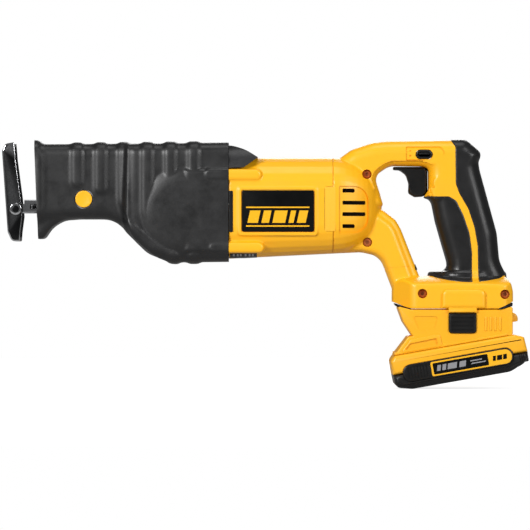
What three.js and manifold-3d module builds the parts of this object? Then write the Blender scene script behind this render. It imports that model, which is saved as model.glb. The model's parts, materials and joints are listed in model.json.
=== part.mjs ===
// A cordless reciprocating saw: rubber-booted gear case with a pivoting shoe, a barrel motor housing,
// a D-handle in two halves, and a slide-on battery pack held by an adapter whose stem stands in the grip.
// Millimetres. X runs from the shoe to the battery along the motor axis, and Z is up.
// The nose is laid out from the crank gear's centre, and the handle from the seam behind the motor housing.
import * as THREE from "three";
import { mergeVertices } from "three/addons/utils/BufferGeometryUtils.js";
import Module from "manifold-3d";

const wasm = await Module();
wasm.setup();

// ---------------------------------------------------------------- driving dimensions
const FIT = 0.3; // gap between pieces that touch or slide
const NOSE_REACH = 126; // crank centre to the boot's mouth
const NOSE_HALF = 29; // half the width of the boot around the nose
const NOSE_TOP = 54;
const NOSE_BOTTOM = -10.3;
const CHAMBER_HALF = 37; // half the width of the boot around the crank chamber
const CHAMBER_BOTTOM = -47.5;
const BULGE_R = 36; // round swelling over the crank gear
const BULGE_PROUD = 1.2;
const BOOT_WALL = 2.2;
const CASE_WALL = 2.4;
const BOOT_REAR = 38; // rear edge of the boot, behind the crank centre

const STROKE = 28.6;
const PLUNGER_Z = 20; // plunger axis above the motor axis
const PLUNGER_R = 6;
const CLAMP_R = 9.5;
const COLLAR_R = 12.8;
const CLAMP_LENGTH = 26;
const BUSH_LENGTH = 13.6;
const BUSH_WALL = 2.2;

const TOOTH_MODULE = 1.25;
const PINION_TEETH = 12;
const GEAR_TEETH = 44;
const GEAR_FACE = 5.6; // radial width of the crown gear's teeth
const GEAR_THICK = 5;
const CRANK_PIN_R = 3.6;
const ROLLER_R = 5;

const SHOE_TILT = 4; // degrees that the shoe's top leans forward at rest
const SHOE_HALF = 17;
const SHOE_PLATE = 2.5;
const SHOE_SLOT_HALF = 6.5;
const POST_HALF = 9;
const POST_HEIGHT = 11.6;
const PIVOT_R = 3;
const BUTTON_R = 7.2; // shoe release button

const HOUSING_LENGTH = 89; // motor housing, from the boot to the rear seam
const HOUSING_HALF = 36.5;
const HOUSING_TOP = 42.4;
const HOUSING_WALL = 2.6;
const HOUSING_CORNER = 27;
const MOTOR_R = 26;
const FAN_ROOM = 16; // between the housing's front and the motor can
const REAR_BEARING_ROOM = 19; // between the motor can and the rear seam
const SHAFT_R = 3.5;

const DOME_LENGTH = 42.5;
const ARM_HALF = 19.5;
const STRUT_HALF = 17;
const BASE_HALF = 34.5;
const SHELL_WALL = 2.6;
const GRIP_WALL = 4.8; // grip shell and the pad moulded on it
const PAD_THICK = 2.2;
const SCREW_R = 1.8;
const SCREW_HEAD_R = 3.4;
const TRIGGER_HALF = 8.6;

const ADAPTER_HALF = 33.5;
const STEM_HALF_LENGTH = 12.5;
const STEM_HALF_WIDTH = 12.5;
const PACK_TILT = 10; // degrees between the pack's rails and the motor axis
const PACK_LENGTH = 117;
const PACK_HALF = 37.5;
const PACK_SEAM = 16.1; // top of the pack's shell above its parting line
const PACK_BASE = -14.5;
const RAIL_NECK_HALF = 18;
const RAIL_HEAD_HALF = 22;
const CELL_R = 9.2;
const CELL_LENGTH = 65;
const CELLS = 5;

// ---------------------------------------------------------------- derived places
const MOUTH_X = -NOSE_REACH;
const CASE_INSET = BOOT_WALL + FIT;
const CAVITY_INSET = CASE_INSET + CASE_WALL;
const PINION_PITCH_R = (TOOTH_MODULE * PINION_TEETH) / 2;
const GEAR_PITCH_R = (TOOTH_MODULE * GEAR_TEETH) / 2;
const GEAR_Y = PINION_PITCH_R + 1.25 * TOOTH_MODULE; // gear's toothed face, beside the motor axis
const GEAR_OUTER_R = GEAR_PITCH_R + GEAR_FACE / 2;
const GEAR_INNER_R = GEAR_PITCH_R - GEAR_FACE / 2;
const YOKE_SLOT = ROLLER_R + FIT;
const YOKE_BAR = 3.2;
const ROD_REAR = -30; // where the round rod turns into the flat yoke arm, at mid stroke
const CLAMP_REAR = ROD_REAR - STROKE / 2 - BUSH_LENGTH - STROKE / 2 - 1.5;
const BUSH_REAR = ROD_REAR - STROKE / 2 - FIT;
const BUSH_FRONT = BUSH_REAR - BUSH_LENGTH;
const POST_TOP = 6.5;
const POST_BOTTOM = POST_TOP - POST_HEIGHT;
const PIVOT_X = MOUTH_X - 18;
const PIVOT_Z = -1.5;
const HOUSING_FRONT = BOOT_REAR + 2;
const SEAM_X = HOUSING_FRONT + HOUSING_LENGTH; // between the motor housing and the handle
const MOTOR_FRONT = HOUSING_FRONT + FAN_ROOM;
const MOTOR_REAR = SEAM_X - REAR_BEARING_ROOM;

// ---------------------------------------------------------------- colours and finishes
const finish = (name, color, roughness, metalness = 0) =>
  new THREE.MeshStandardMaterial({ name, color, roughness, metalness });
const YELLOW = finish("yellow_plastic", 0xfdb91a, 0.42);
const BLACK = finish("black_plastic", 0x1b1b1c, 0.5);
const RUBBER = finish("grey_rubber", 0x353536, 0.75);
const CAST = finish("cast_aluminium", 0x9b9c9e, 0.5, 0.9);
const STEEL = finish("steel", 0xb4b6b8, 0.3, 1);
const DARK_STEEL = finish("dark_steel", 0x303134, 0.35, 0.9);
const BRONZE = finish("sintered_bronze", 0xa9793c, 0.5, 1);
const COPPER = finish("copper", 0xb8703c, 0.4, 1);
const CARBON = finish("carbon", 0x2a2a2a, 0.7);
const CELL_WRAP = finish("cell_wrap", 0x2f7f86, 0.45);

// ---------------------------------------------------------------- geometry helpers
// A closed geometry as a solid that can be joined and cut.
function solid(geometry) {
  const bare = geometry.clone();
  bare.deleteAttribute("normal");
  bare.deleteAttribute("uv");
  const merged = mergeVertices(bare, 1e-4);
  return new wasm.Manifold(
    new wasm.Mesh({
      numProp: 3,
      vertProperties: merged.attributes.position.array,
      triVerts: new Uint32Array(merged.index.array),
    }),
  );
}

// A solid as a geometry for a mesh.
function surface(body) {
  const { numProp, vertProperties, triVerts } = body.getMesh();
  const geometry = new THREE.BufferGeometry();
  const points = new THREE.InterleavedBuffer(vertProperties, numProp);
  geometry.setAttribute("position", new THREE.InterleavedBufferAttribute(points, 3, 0));
  geometry.setIndex(new THREE.BufferAttribute(triVerts, 1));
  const flat = geometry.toNonIndexed();
  flat.computeVertexNormals();
  return flat;
}

const join = (first, ...rest) => rest.reduce((all, body) => all.add(body), first);
const cut = (first, ...rest) => rest.reduce((all, body) => all.subtract(body), first);

// The part of a solid that has volume worth keeping: booleans can leave slivers beside it.
const largest = (body) => body.decompose().reduce((a, b) => (b.volume() > a.volume() ? b : a));

function box(x0, x1, y0, y1, z0, z1) {
  const geometry = new THREE.BoxGeometry(x1 - x0, y1 - y0, z1 - z0);
  return solid(geometry.translate((x0 + x1) / 2, (y0 + y1) / 2, (z0 + z1) / 2));
}

// A round bar along X, Y or Z through the point (a, b) of the other two axes, in their order.
function rod(axis, radius, from, to, a = 0, b = 0, sides = 24, endRadius = radius) {
  const geometry = new THREE.CylinderGeometry(endRadius, radius, to - from, sides);
  const middle = (from + to) / 2;
  if (axis === "x") geometry.rotateZ(-Math.PI / 2).translate(middle, a, b);
  if (axis === "y") geometry.translate(a, middle, b);
  if (axis === "z") geometry.rotateX(Math.PI / 2).translate(a, b, middle);
  return solid(geometry);
}

// A ring along an axis.
const ring = (axis, outer, inner, from, to, a = 0, b = 0, sides = 24) =>
  rod(axis, outer, from, to, a, b, sides).subtract(rod(axis, inner, from - 1, to + 1, a, b, sides));

const outline = (...points) => new THREE.Shape(points.map(([x, z]) => new THREE.Vector2(x, z)));

// A side outline in X and Z carried across Y, with rounded edges. An inset makes it smaller all over.
function slab(shape, half, { round = 1, inset = 0, segments = 2, curves = 6 } = {}) {
  const edge = Math.max(round - inset, 0.4);
  const geometry = new THREE.ExtrudeGeometry(shape, {
    depth: 2 * (half - inset - edge),
    bevelThickness: edge,
    bevelSize: edge,
    bevelOffset: -edge - inset,
    bevelSegments: segments,
    curveSegments: curves,
  });
  return solid(geometry.translate(0, 0, -(half - inset - edge)).rotateX(Math.PI / 2));
}

// A section in Y and Z carried along X.
function bar(shape, from, to, curves = 6) {
  const geometry = new THREE.ExtrudeGeometry(shape, {
    depth: to - from,
    bevelEnabled: false,
    curveSegments: curves,
  });
  const turn = new THREE.Matrix4().makeBasis(
    new THREE.Vector3(0, 1, 0),
    new THREE.Vector3(0, 0, 1),
    new THREE.Vector3(1, 0, 0),
  );
  return solid(geometry.applyMatrix4(turn).translate(from, 0, 0));
}

function roundedRectangle(half, bottom, top, corner) {
  const shape = new THREE.Shape();
  shape.absarc(half - corner, top - corner, corner, 0, Math.PI / 2);
  shape.absarc(-half + corner, top - corner, corner, Math.PI / 2, Math.PI);
  shape.absarc(-half + corner, bottom + corner, corner, Math.PI, 1.5 * Math.PI);
  shape.absarc(half - corner, bottom + corner, corner, 1.5 * Math.PI, 2 * Math.PI);
  return shape;
}

// A straight slot with round ends, carried across Y.
function stadium(x0, x1, z0, z1) {
  const r = (z1 - z0) / 2;
  const shape = new THREE.Shape();
  shape.absarc(x1 - r, z0 + r, r, -Math.PI / 2, Math.PI / 2);
  shape.absarc(x0 + r, z0 + r, r, Math.PI / 2, 1.5 * Math.PI);
  return shape;
}

// A prism of an outline between two places across Y.
function prism(shape, y0, y1, curves = 6) {
  const geometry = new THREE.ExtrudeGeometry(shape, {
    depth: y1 - y0,
    bevelEnabled: false,
    curveSegments: curves,
  });
  return solid(geometry.rotateX(Math.PI / 2).translate(0, y1, 0));
}

function piece(name, body, material) {
  const mesh = new THREE.Mesh(surface(body), material);
  mesh.name = name;
  return mesh;
}

// ---------------------------------------------------------------- boot and gear case
const noseOutline = outline(
  [MOUTH_X - 22, NOSE_TOP - 0.2], [0, NOSE_TOP + 0.8], [0, NOSE_BOTTOM - 21.7], [-36, NOSE_BOTTOM - 21.7],
  [-52.5, NOSE_BOTTOM - 7], [-60, NOSE_BOTTOM - 1.4], [-70, NOSE_BOTTOM], [MOUTH_X - 22, NOSE_BOTTOM],
);
const chamberOutline = outline(
  [-44, NOSE_TOP + 0.8], [BOOT_REAR - 1, NOSE_TOP + 1.7], [BOOT_REAR + 1.5, CHAMBER_BOTTOM + 0.5],
  [-8, CHAMBER_BOTTOM], [-30, CHAMBER_BOTTOM + 7.5], [-50, NOSE_BOTTOM - 8],
);
const chinOutline = outline(
  [MOUTH_X - 6, 12], [MOUTH_X + 27, 12], [MOUTH_X + 27, NOSE_BOTTOM], [MOUTH_X + 17, NOSE_BOTTOM - 3.2],
  [MOUTH_X + 10, NOSE_BOTTOM - 9.6], [MOUTH_X + 5.6, NOSE_BOTTOM - 17], [MOUTH_X - 6, NOSE_BOTTOM - 17],
);
const lipOutline = outline(
  [MOUTH_X - 8, NOSE_TOP + 3.9], [MOUTH_X + 2.4, NOSE_TOP + 3.6], [MOUTH_X + 6, NOSE_TOP],
  [MOUTH_X + 12, NOSE_TOP - 4], [MOUTH_X + 9, NOSE_BOTTOM + 4], [MOUTH_X + 5, NOSE_BOTTOM - 4],
  [MOUTH_X - 8, NOSE_BOTTOM - 4],
);
// What lies ahead of the boot's mouth, which leans forward at the top.
const aheadOfMouth = (gap) =>
  prism(outline([MOUTH_X - 60, 80], [MOUTH_X - 3.7 + gap, 80], [MOUTH_X + 1.7 + gap, -40], [MOUTH_X - 60, -40]), -60, 60);
const buttonPlace = [MOUTH_X + 41, 6.9];

// The shape that the boot and the case share, at a given inset.
const noseBody = (inset) =>
  join(slab(noseOutline, NOSE_HALF, { round: 8, inset }), slab(chamberOutline, CHAMBER_HALF, { round: 9, inset }));

function makeBoot() {
  const chin = slab(chinOutline, NOSE_HALF - 6, { round: 2 });
  const lip = slab(lipOutline, NOSE_HALF + 1.2, { round: 4 });
  const bulge = rod("y", BULGE_R, -CHAMBER_HALF - BULGE_PROUD, CHAMBER_HALF + BULGE_PROUD, 0, -3, 32);
  const proud = noseBody(-0.7);
  const ribs = [0, 1, 2, 3, 4, 5].map((i) => {
    const x = MOUTH_X + 35.5 + i * 20;
    return proud.intersect(box(x - 5, x + 5, -60, 60, 12, 80));
  });
  const bosses = [[17.7, 22.6, 33.2], [21.4, -39.4, -30]].map(([x, z0, z1]) =>
    prism(stadium(x, BOOT_REAR + 8, z0, z1), -CHAMBER_HALF - 0.8, CHAMBER_HALF + 0.8, 4)
      .intersect(box(0, BOOT_REAR + 0.2, -60, 60, -60, 60)),
  );
  const rearOpening = slab(chamberOutline, CHAMBER_HALF, { round: 9, inset: BOOT_WALL }).translate([12, 0, 0]);
  const buttonHole = rod("y", BUTTON_R + 0.6, -60, 0, ...buttonPlace);
  return largest(
    cut(join(noseBody(0), chin, lip, bulge, ...ribs, ...bosses), noseBody(BOOT_WALL), rearOpening, aheadOfMouth(0), buttonHole),
  );
}

function makeGearCase() {
  const bushBlock = box(BUSH_FRONT, BUSH_REAR + 1, -60, 60, -60, 80);
  const hollow = cut(noseBody(CAVITY_INSET), bushBlock);
  const bushBore = rod("x", PLUNGER_R + BUSH_WALL + 2 * FIT, BUSH_FRONT - 5, BUSH_REAR + 5, 0, PLUNGER_Z);
  const postWay = box(MOUTH_X - 20, BUSH_REAR + 3, -POST_HALF - FIT, POST_HALF + FIT,
    POST_BOTTOM - FIT, POST_TOP + FIT);
  const buttonWay = rod("y", 4, -60, 0, ...buttonPlace);
  const buttonSeat = rod("y", BUTTON_R + 0.6, -60, -NOSE_HALF + CASE_INSET + 1.2, ...buttonPlace);
  const coverHole = rod("y", GEAR_OUTER_R + 1.2, CHAMBER_HALF - CAVITY_INSET - 6, 60, 0, 0, 36);
  const bearingSeat = rod("x", 11, BOOT_REAR - 6, BOOT_REAR + 6);
  return largest(
    cut(noseBody(CASE_INSET), hollow, aheadOfMouth(3), bushBore, postWay, buttonWay, buttonSeat, coverHole, bearingSeat),
  );
}

function makeCaseCover() {
  const outerY = CHAMBER_HALF - CASE_INSET;
  const plate = rod("y", GEAR_OUTER_R + 0.9, outerY - 3, outerY, 0, 0, 36);
  const boss = rod("y", 14, GEAR_Y + GEAR_THICK + 1, outerY - 1, 0, 0);
  const seat = rod("y", 11 + FIT, GEAR_Y, GEAR_Y + GEAR_THICK + 7.5);
  const relief = rod("y", 8, GEAR_Y, outerY - 4);
  return cut(join(plate, boss), seat, relief);
}

// ---------------------------------------------------------------- crank and plunger
function toothShape(root, tip, height) {
  return outline([-root / 2, 0], [root / 2, 0], [tip / 2, height], [-tip / 2, height]);
}

function makeCrankGear() {
  const top = GEAR_Y + GEAR_THICK;
  const disc = rod("y", GEAR_OUTER_R + 0.4, GEAR_Y, top, 0, 0, GEAR_TEETH);
  const hub = rod("y", 6, top - 1, top + 8);
  const web = ring("y", GEAR_INNER_R - 3, 10, top - 1.6, top + 1);
  const pin = rod("y", CRANK_PIN_R, FIT + 0.1, GEAR_Y + 1, 0, STROKE / 2, 16);
  const toothGeometry = new THREE.ExtrudeGeometry(toothShape(1.9, 0.9, 2.2 * TOOTH_MODULE), {
    depth: GEAR_FACE,
    bevelEnabled: false,
  });
  // Each tooth stands on the face towards -Y, with its length along the radius.
  toothGeometry.translate(0, -0.3, GEAR_INNER_R).rotateZ(Math.PI).translate(0, GEAR_Y, 0);
  const teeth = [];
  for (let i = 0; i < GEAR_TEETH; i++) {
    const turned = toothGeometry.clone().rotateY(Math.PI / 2 + (2 * Math.PI * i) / GEAR_TEETH);
    teeth.push(solid(turned));
  }
  return cut(join(disc, hub, pin, ...teeth), web);
}

function makePinion() {
  const root = PINION_PITCH_R - 1.2 * TOOTH_MODULE;
  const tip = PINION_PITCH_R + 0.85 * TOOTH_MODULE;
  const points = [];
  for (let i = 0; i < PINION_TEETH; i++) {
    // The gear has a tooth on the line of centres, so the pinion has a gap there.
    const centre = ((i + 0.5) * 2 * Math.PI) / PINION_TEETH;
    for (const [radius, angle] of [[root, -0.15], [tip, -0.045], [tip, 0.045], [root, 0.15]]) {
      points.push([radius * Math.cos(centre + angle), radius * Math.sin(centre + angle)]);
    }
  }
  const body = bar(outline(...points), GEAR_INNER_R - 0.3, GEAR_OUTER_R + 0.8);
  return cut(body, rod("x", SHAFT_R + FIT, 0, 60));
}

function makePlunger() {
  const round = rod("x", PLUNGER_R, CLAMP_REAR - CLAMP_LENGTH + 12, ROD_REAR + 2, 0, PLUNGER_Z, 20);
  const yokeHalf = YOKE_SLOT + YOKE_BAR;
  const slotEnd = STROKE / 2 + YOKE_SLOT;
  const yoke = box(-yokeHalf, yokeHalf, -PLUNGER_R, 0, -slotEnd - 4, slotEnd + 4);
  const slot = box(-YOKE_SLOT, YOKE_SLOT, -PLUNGER_R - 1, 1, -slotEnd, slotEnd);
  const arm = box(ROD_REAR + 0.3, -yokeHalf + 1, -PLUNGER_R, 0, PLUNGER_Z - 5, PLUNGER_Z + 3.5);
  return cut(join(round, arm, yoke), slot);
}

// Blade holder on the plunger's tip, with a slot for a flat shank.
function makeClampBody() {
  const front = CLAMP_REAR - CLAMP_LENGTH;
  const body = rod("x", CLAMP_R, front, CLAMP_REAR, 0, PLUNGER_Z);
  const bore = rod("x", PLUNGER_R + FIT, CLAMP_REAR - CLAMP_LENGTH + 12 - FIT, CLAMP_REAR + 1, 0, PLUNGER_Z, 20);
  const bladeSlot = box(front - 1, front + 11, -0.9, 0.9, PLUNGER_Z - 6.6, PLUNGER_Z + 6.6);
  return cut(body, bore, bladeSlot);
}

function makeClampCollar() {
  const front = CLAMP_REAR - CLAMP_LENGTH;
  const collar = ring("x", COLLAR_R, CLAMP_R + FIT, front + 4, CLAMP_REAR - 3, 0, PLUNGER_Z);
  const ridges = [0, 1, 2, 3, 4, 5, 6, 7].map((i) => {
    const angle = ((i + 0.5) * Math.PI) / 4;
    const out = COLLAR_R + 0.4;
    return rod("x", 1.6, front + 3, CLAMP_REAR - 2, out * Math.cos(angle), PLUNGER_Z + out * Math.sin(angle), 8);
  });
  return cut(collar, ...ridges);
}

// ---------------------------------------------------------------- shoe
function makeShoe() {
  const side = new THREE.Shape();
  side.moveTo(-8.3, -19);
  side.lineTo(-8.3, 49);
  side.quadraticCurveTo(-8.3, 57, 0, 57.6);
  side.lineTo(3, 57.6);
  side.lineTo(5.5, 4);
  side.lineTo(5.5, -7);
  side.lineTo(2.8, -20);
  side.lineTo(1.8, -28);
  side.quadraticCurveTo(-8.3, -28, -8.3, -19);
  const body = slab(side, SHOE_HALF, { round: 1.2, segments: 1 });
  const inner = prism(outline([-8.3 + SHOE_PLATE, -22], [-8.3 + SHOE_PLATE, 50], [0, 54.5], [20, 54.5], [20, -25], [0, -25]),
    -SHOE_HALF + SHOE_PLATE, SHOE_HALF - SHOE_PLATE);
  const slot = box(-20, 20, -SHOE_SLOT_HALF, SHOE_SLOT_HALF, -14, 47);
  const pinHole = rod("y", PIVOT_R + FIT, -40, 40);
  return cut(body, inner, slot, pinHole);
}

function makePivotPin() {
  const head = SHOE_HALF + FIT;
  return join(
    rod("y", PIVOT_R, -head - 1, head + 1),
    rod("y", 4.7, -head - 1.8, -head),
    rod("y", 4.7, head, head + 1.8),
  );
}

function makePost() {
  const rear = BUSH_REAR - 2;
  const front = PIVOT_X + 1;
  const beam = box(front, rear, -POST_HALF, POST_HALF, POST_BOTTOM, POST_TOP);
  const lug = rod("y", 5.2, -POST_HALF, POST_HALF, PIVOT_X, PIVOT_Z);
  const nose = box(front - 3, PIVOT_X + 7, -20, 20, 3, 20);
  const channel = box(PIVOT_X + 12, rear - 8, -POST_HALF - 1, -POST_HALF + 3, -1.6, 2.9);
  const otherChannel = box(PIVOT_X + 12, rear - 8, POST_HALF - 3, POST_HALF + 1, -1.6, 2.9);
  const hole = rod("y", PIVOT_R + FIT, -40, 40, PIVOT_X, PIVOT_Z);
  return cut(join(beam, lug), nose, channel, otherChannel, hole);
}

// Push button whose stem reaches the post's side.
function makeReleaseButton() {
  const face = -NOSE_HALF - 1.1;
  return join(
    rod("y", BUTTON_R, face, face + 1.8, ...buttonPlace, 32),
    rod("y", 3.6, face + 1, -POST_HALF - 5.4, ...buttonPlace, 16),
  );
}

// ---------------------------------------------------------------- motor
const housingSection = (inset) =>
  roundedRectangle(HOUSING_HALF - inset, -HOUSING_TOP + inset, HOUSING_TOP - inset, HOUSING_CORNER - inset);

function makeMotorHousing() {
  const rear = SEAM_X - FIT;
  const body = bar(housingSection(0), HOUSING_FRONT, rear);
  const spigot = bar(housingSection(3.4), BOOT_REAR - 0.3, HOUSING_FRONT + 1);
  const ribs = [[67.9, 22.6, 32.5], [70, -39.4, -30]].map(([x, z0, z1]) =>
    prism(stadium(HOUSING_FRONT - 12, x, z0, z1), -HOUSING_HALF + 1, HOUSING_HALF - 1, 4)
      .intersect(box(HOUSING_FRONT + 0.3, SEAM_X, -60, 60, -60, 60)),
  );
  const hollow = bar(housingSection(HOUSING_WALL), HOUSING_FRONT + 3, SEAM_X + 10);
  const frontHole = rod("x", 24, BOOT_REAR - 5, HOUSING_FRONT + 5);
  const seats = [MOTOR_FRONT + 4, MOTOR_REAR - 10].map((x) =>
    cut(bar(housingSection(1), x, x + 4), rod("x", MOTOR_R + FIT, x - 1, x + 5)),
  );
  const endBell = cut(
    bar(housingSection(1), MOTOR_REAR + 9, MOTOR_REAR + 13),
    rod("x", 9.5 + FIT, MOTOR_REAR, MOTOR_REAR + 20),
    ...[0, 1, 2, 3].map((i) => rod("x", 6, 0, 200, 18 * Math.cos(i * 1.5708), 18 * Math.sin(i * 1.5708), 12)),
  );
  const tabs = cut(box(SEAM_X - 7 - FIT, SEAM_X + 1, -60, 60, -20.9, 17.5), box(0, 300, -30, 30, -60, 60));
  return cut(join(cut(join(body, spigot, ...ribs), hollow, frontHole), ...seats, endBell), tabs);
}

const makeCan = () =>
  cut(
    rod("x", MOTOR_R, MOTOR_FRONT, MOTOR_REAR, 0, 0, 36),
    rod("x", MOTOR_R - 2, MOTOR_FRONT + 2, MOTOR_REAR + 1, 0, 0, 36),
    rod("x", 19, MOTOR_FRONT - 1, MOTOR_FRONT + 3, 0, 0, 36),
  );

function makeMagnet(side) {
  const shell = ring("x", MOTOR_R - 2 - FIT, MOTOR_R - 5.6, MOTOR_FRONT + 8, MOTOR_REAR - 10, 0, 0, 36);
  const z0 = side > 0 ? 6 : -40;
  const z1 = side > 0 ? 40 : -6;
  return shell.intersect(box(MOTOR_FRONT, MOTOR_REAR, -40, 40, z0, z1));
}

// Wound core with open slots along it.
function makeArmature() {
  const slots = 10;
  const points = [];
  for (let i = 0; i < slots; i++) {
    const centre = (i * 2 * Math.PI) / slots;
    for (const [radius, angle] of [[13, 0.09], [19.6, 0.09], [19.6, 0.54], [13, 0.54]]) {
      points.push([radius * Math.cos(centre + angle), radius * Math.sin(centre + angle)]);
    }
  }
  const core = bar(outline(...points), MOTOR_FRONT + 10, MOTOR_REAR - 12);
  return cut(core, rod("x", SHAFT_R + FIT, 0, 200, 0, 0, 16));
}

function makeFan() {
  const x = MOTOR_FRONT - 12;
  const disc = rod("x", 20, x, x + 1.6, 0, 0, 24);
  const hub = rod("x", 7, x, x + 8, 0, 0, 16);
  const blades = [0, 1, 2, 3, 4, 5, 6, 7, 8].map((i) => {
    const blade = new THREE.BoxGeometry(6.5, 14, 1.2).translate(x + 4.5, 12.5, 2);
    return solid(blade.rotateX((i * 2 * Math.PI) / 9));
  });
  return cut(join(disc, hub, ...blades), rod("x", SHAFT_R + FIT, x - 5, x + 15, 0, 0, 16));
}

function makeBrush(side) {
  const y0 = side < 0 ? -18 : 9.4;
  const y1 = side < 0 ? -9.4 : 18;
  return box(MOTOR_REAR - 4.5, MOTOR_REAR + 1.5, y0, y1, -3, 3);
}

function makeBrushRing() {
  const body = ring("x", MOTOR_R - 2 - FIT, 12.5, MOTOR_REAR - 6.5, MOTOR_REAR + 3, 0, 0, 30);
  return cut(body, box(MOTOR_REAR - 4.5 - FIT, MOTOR_REAR + 1.5 + FIT, -18 - FIT, 18 + FIT, -3 - FIT, 3 + FIT));
}

// ---------------------------------------------------------------- handle (x from the seam)
const armOutline = outline(
  [8, 43], [17, 50], [26, 53.6], [48, 56.9], [114, 57.7], [127.3, 46.2], [124.8, 33], [108, 8.5],
  [83, 8], [82.4, 31.5], [78, 35.3], [49, 35.6], [41.5, 31.5], [30, 14], [8, 14],
);
const gripOutline = outline(
  [88, 26], [124.2, 37], [132.5, 8], [140.2, -22], [142.4, -46], [147.8, -57.6], [147.8, -73],
  [97, -73], [99.6, -50], [95.6, -34], [89.4, -12], [86.2, 4],
);
const strutOutline = outline(
  [22, -6], [22, -38.4], [30, -39], [37, -42], [43, -48], [52.4, -73], [78.5, -73], [58.4, -19],
  [54, -11], [44, -3.4], [38, 4],
);
const baseOutline = outline(
  [51.3, -67], [58, -61.5], [74, -59.6], [148, -59.6], [153, -66], [154.3, -81.8], [143.5, -87.3],
  [66, -87.3], [52.1, -80.8],
);
const tongue = { x0: 95, x1: 129, z0: -90.3, z1: -71.4, half: 36.2 };
const frontPad = outline([80, 8.6], [99.8, 9.4], [106, 5.6], [112.4, -7], [117.4, -22.4], [119.6, -40], [119.6, -58.8],
  [80, -58.8]);
const rearPad = outline([104.9, 70], [105.5, 20.4], [108.9, 11.6], [116.4, -1.6], [121.6, -17], [124.4, -33],
  [125.4, -58.8], [165, -58.8], [165, 70]);
const screwPlaces = [[29.2, 28.4, 13.5], [29.7, -30.1, 13.5], [76.6, -74.2, 27], [147.3, -74.8, 27]];
const triggerOutline = outline(
  [52.2, 34], [85.5, 34], [85.5, 10.5], [79, 9], [70, 8.9], [65.4, 13], [65.4, 20.4], [63.2, 27],
  [58.2, 30.8], [52.4, 31.5],
);
const lockOff = { x0: 71.4, x1: 85.6, z0: 41.6, z1: 49.4 };

function dome(inset) {
  const steps = 6;
  const profile = [new THREE.Vector2(0, 0)];
  for (let i = 0; i <= steps; i++) {
    const angle = (i * Math.PI) / 2 / steps;
    const radius = i === steps ? 0 : (HOUSING_TOP - inset) * Math.cos(angle);
    profile.push(new THREE.Vector2(radius, (DOME_LENGTH - inset) * Math.sin(angle)));
  }
  const geometry = new THREE.LatheGeometry(profile, 28);
  return solid(geometry.rotateZ(-Math.PI / 2).scale(1, (HOUSING_HALF - inset) / (HOUSING_TOP - inset), 1));
}

// Barrel end, arm, grip, strut and base as one solid, inset for the skin, the pads' seat or the cavity.
function handleBody(inset, gripInset = inset) {
  return join(
    dome(inset),
    slab(armOutline, ARM_HALF, { round: 9, inset: gripInset }),
    slab(gripOutline, ARM_HALF, { round: 10, inset: gripInset }),
    slab(strutOutline, STRUT_HALF, { round: 6, inset }),
    slab(baseOutline, BASE_HALF, { round: 6, inset }),
  );
}

const gripBody = (inset) =>
  join(slab(armOutline, ARM_HALF, { round: 9, inset }), slab(gripOutline, ARM_HALF, { round: 10, inset }));

const halfSpace = (side) =>
  side < 0 ? box(-200, 400, -100, -FIT / 2, -200, 200) : box(-200, 400, FIT / 2, 100, -200, 200);

// Places in the pack's frame, which is turned about Y and sits under the grip.
const packPlace = new THREE.Matrix4()
  .makeRotationY(THREE.MathUtils.degToRad(-PACK_TILT))
  .setPosition(109, 0, -134);
const tilted = (geometry) => solid(geometry.applyMatrix4(packPlace));
const tiltedBox = (u0, u1, y0, y1, w0, w1) =>
  tilted(new THREE.BoxGeometry(u1 - u0, y1 - y0, w1 - w0)
    .translate((u0 + u1) / 2, (y0 + y1) / 2, (w0 + w1) / 2));
const STEM_U = 27;
const STEM_TOP = 100;

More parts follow.
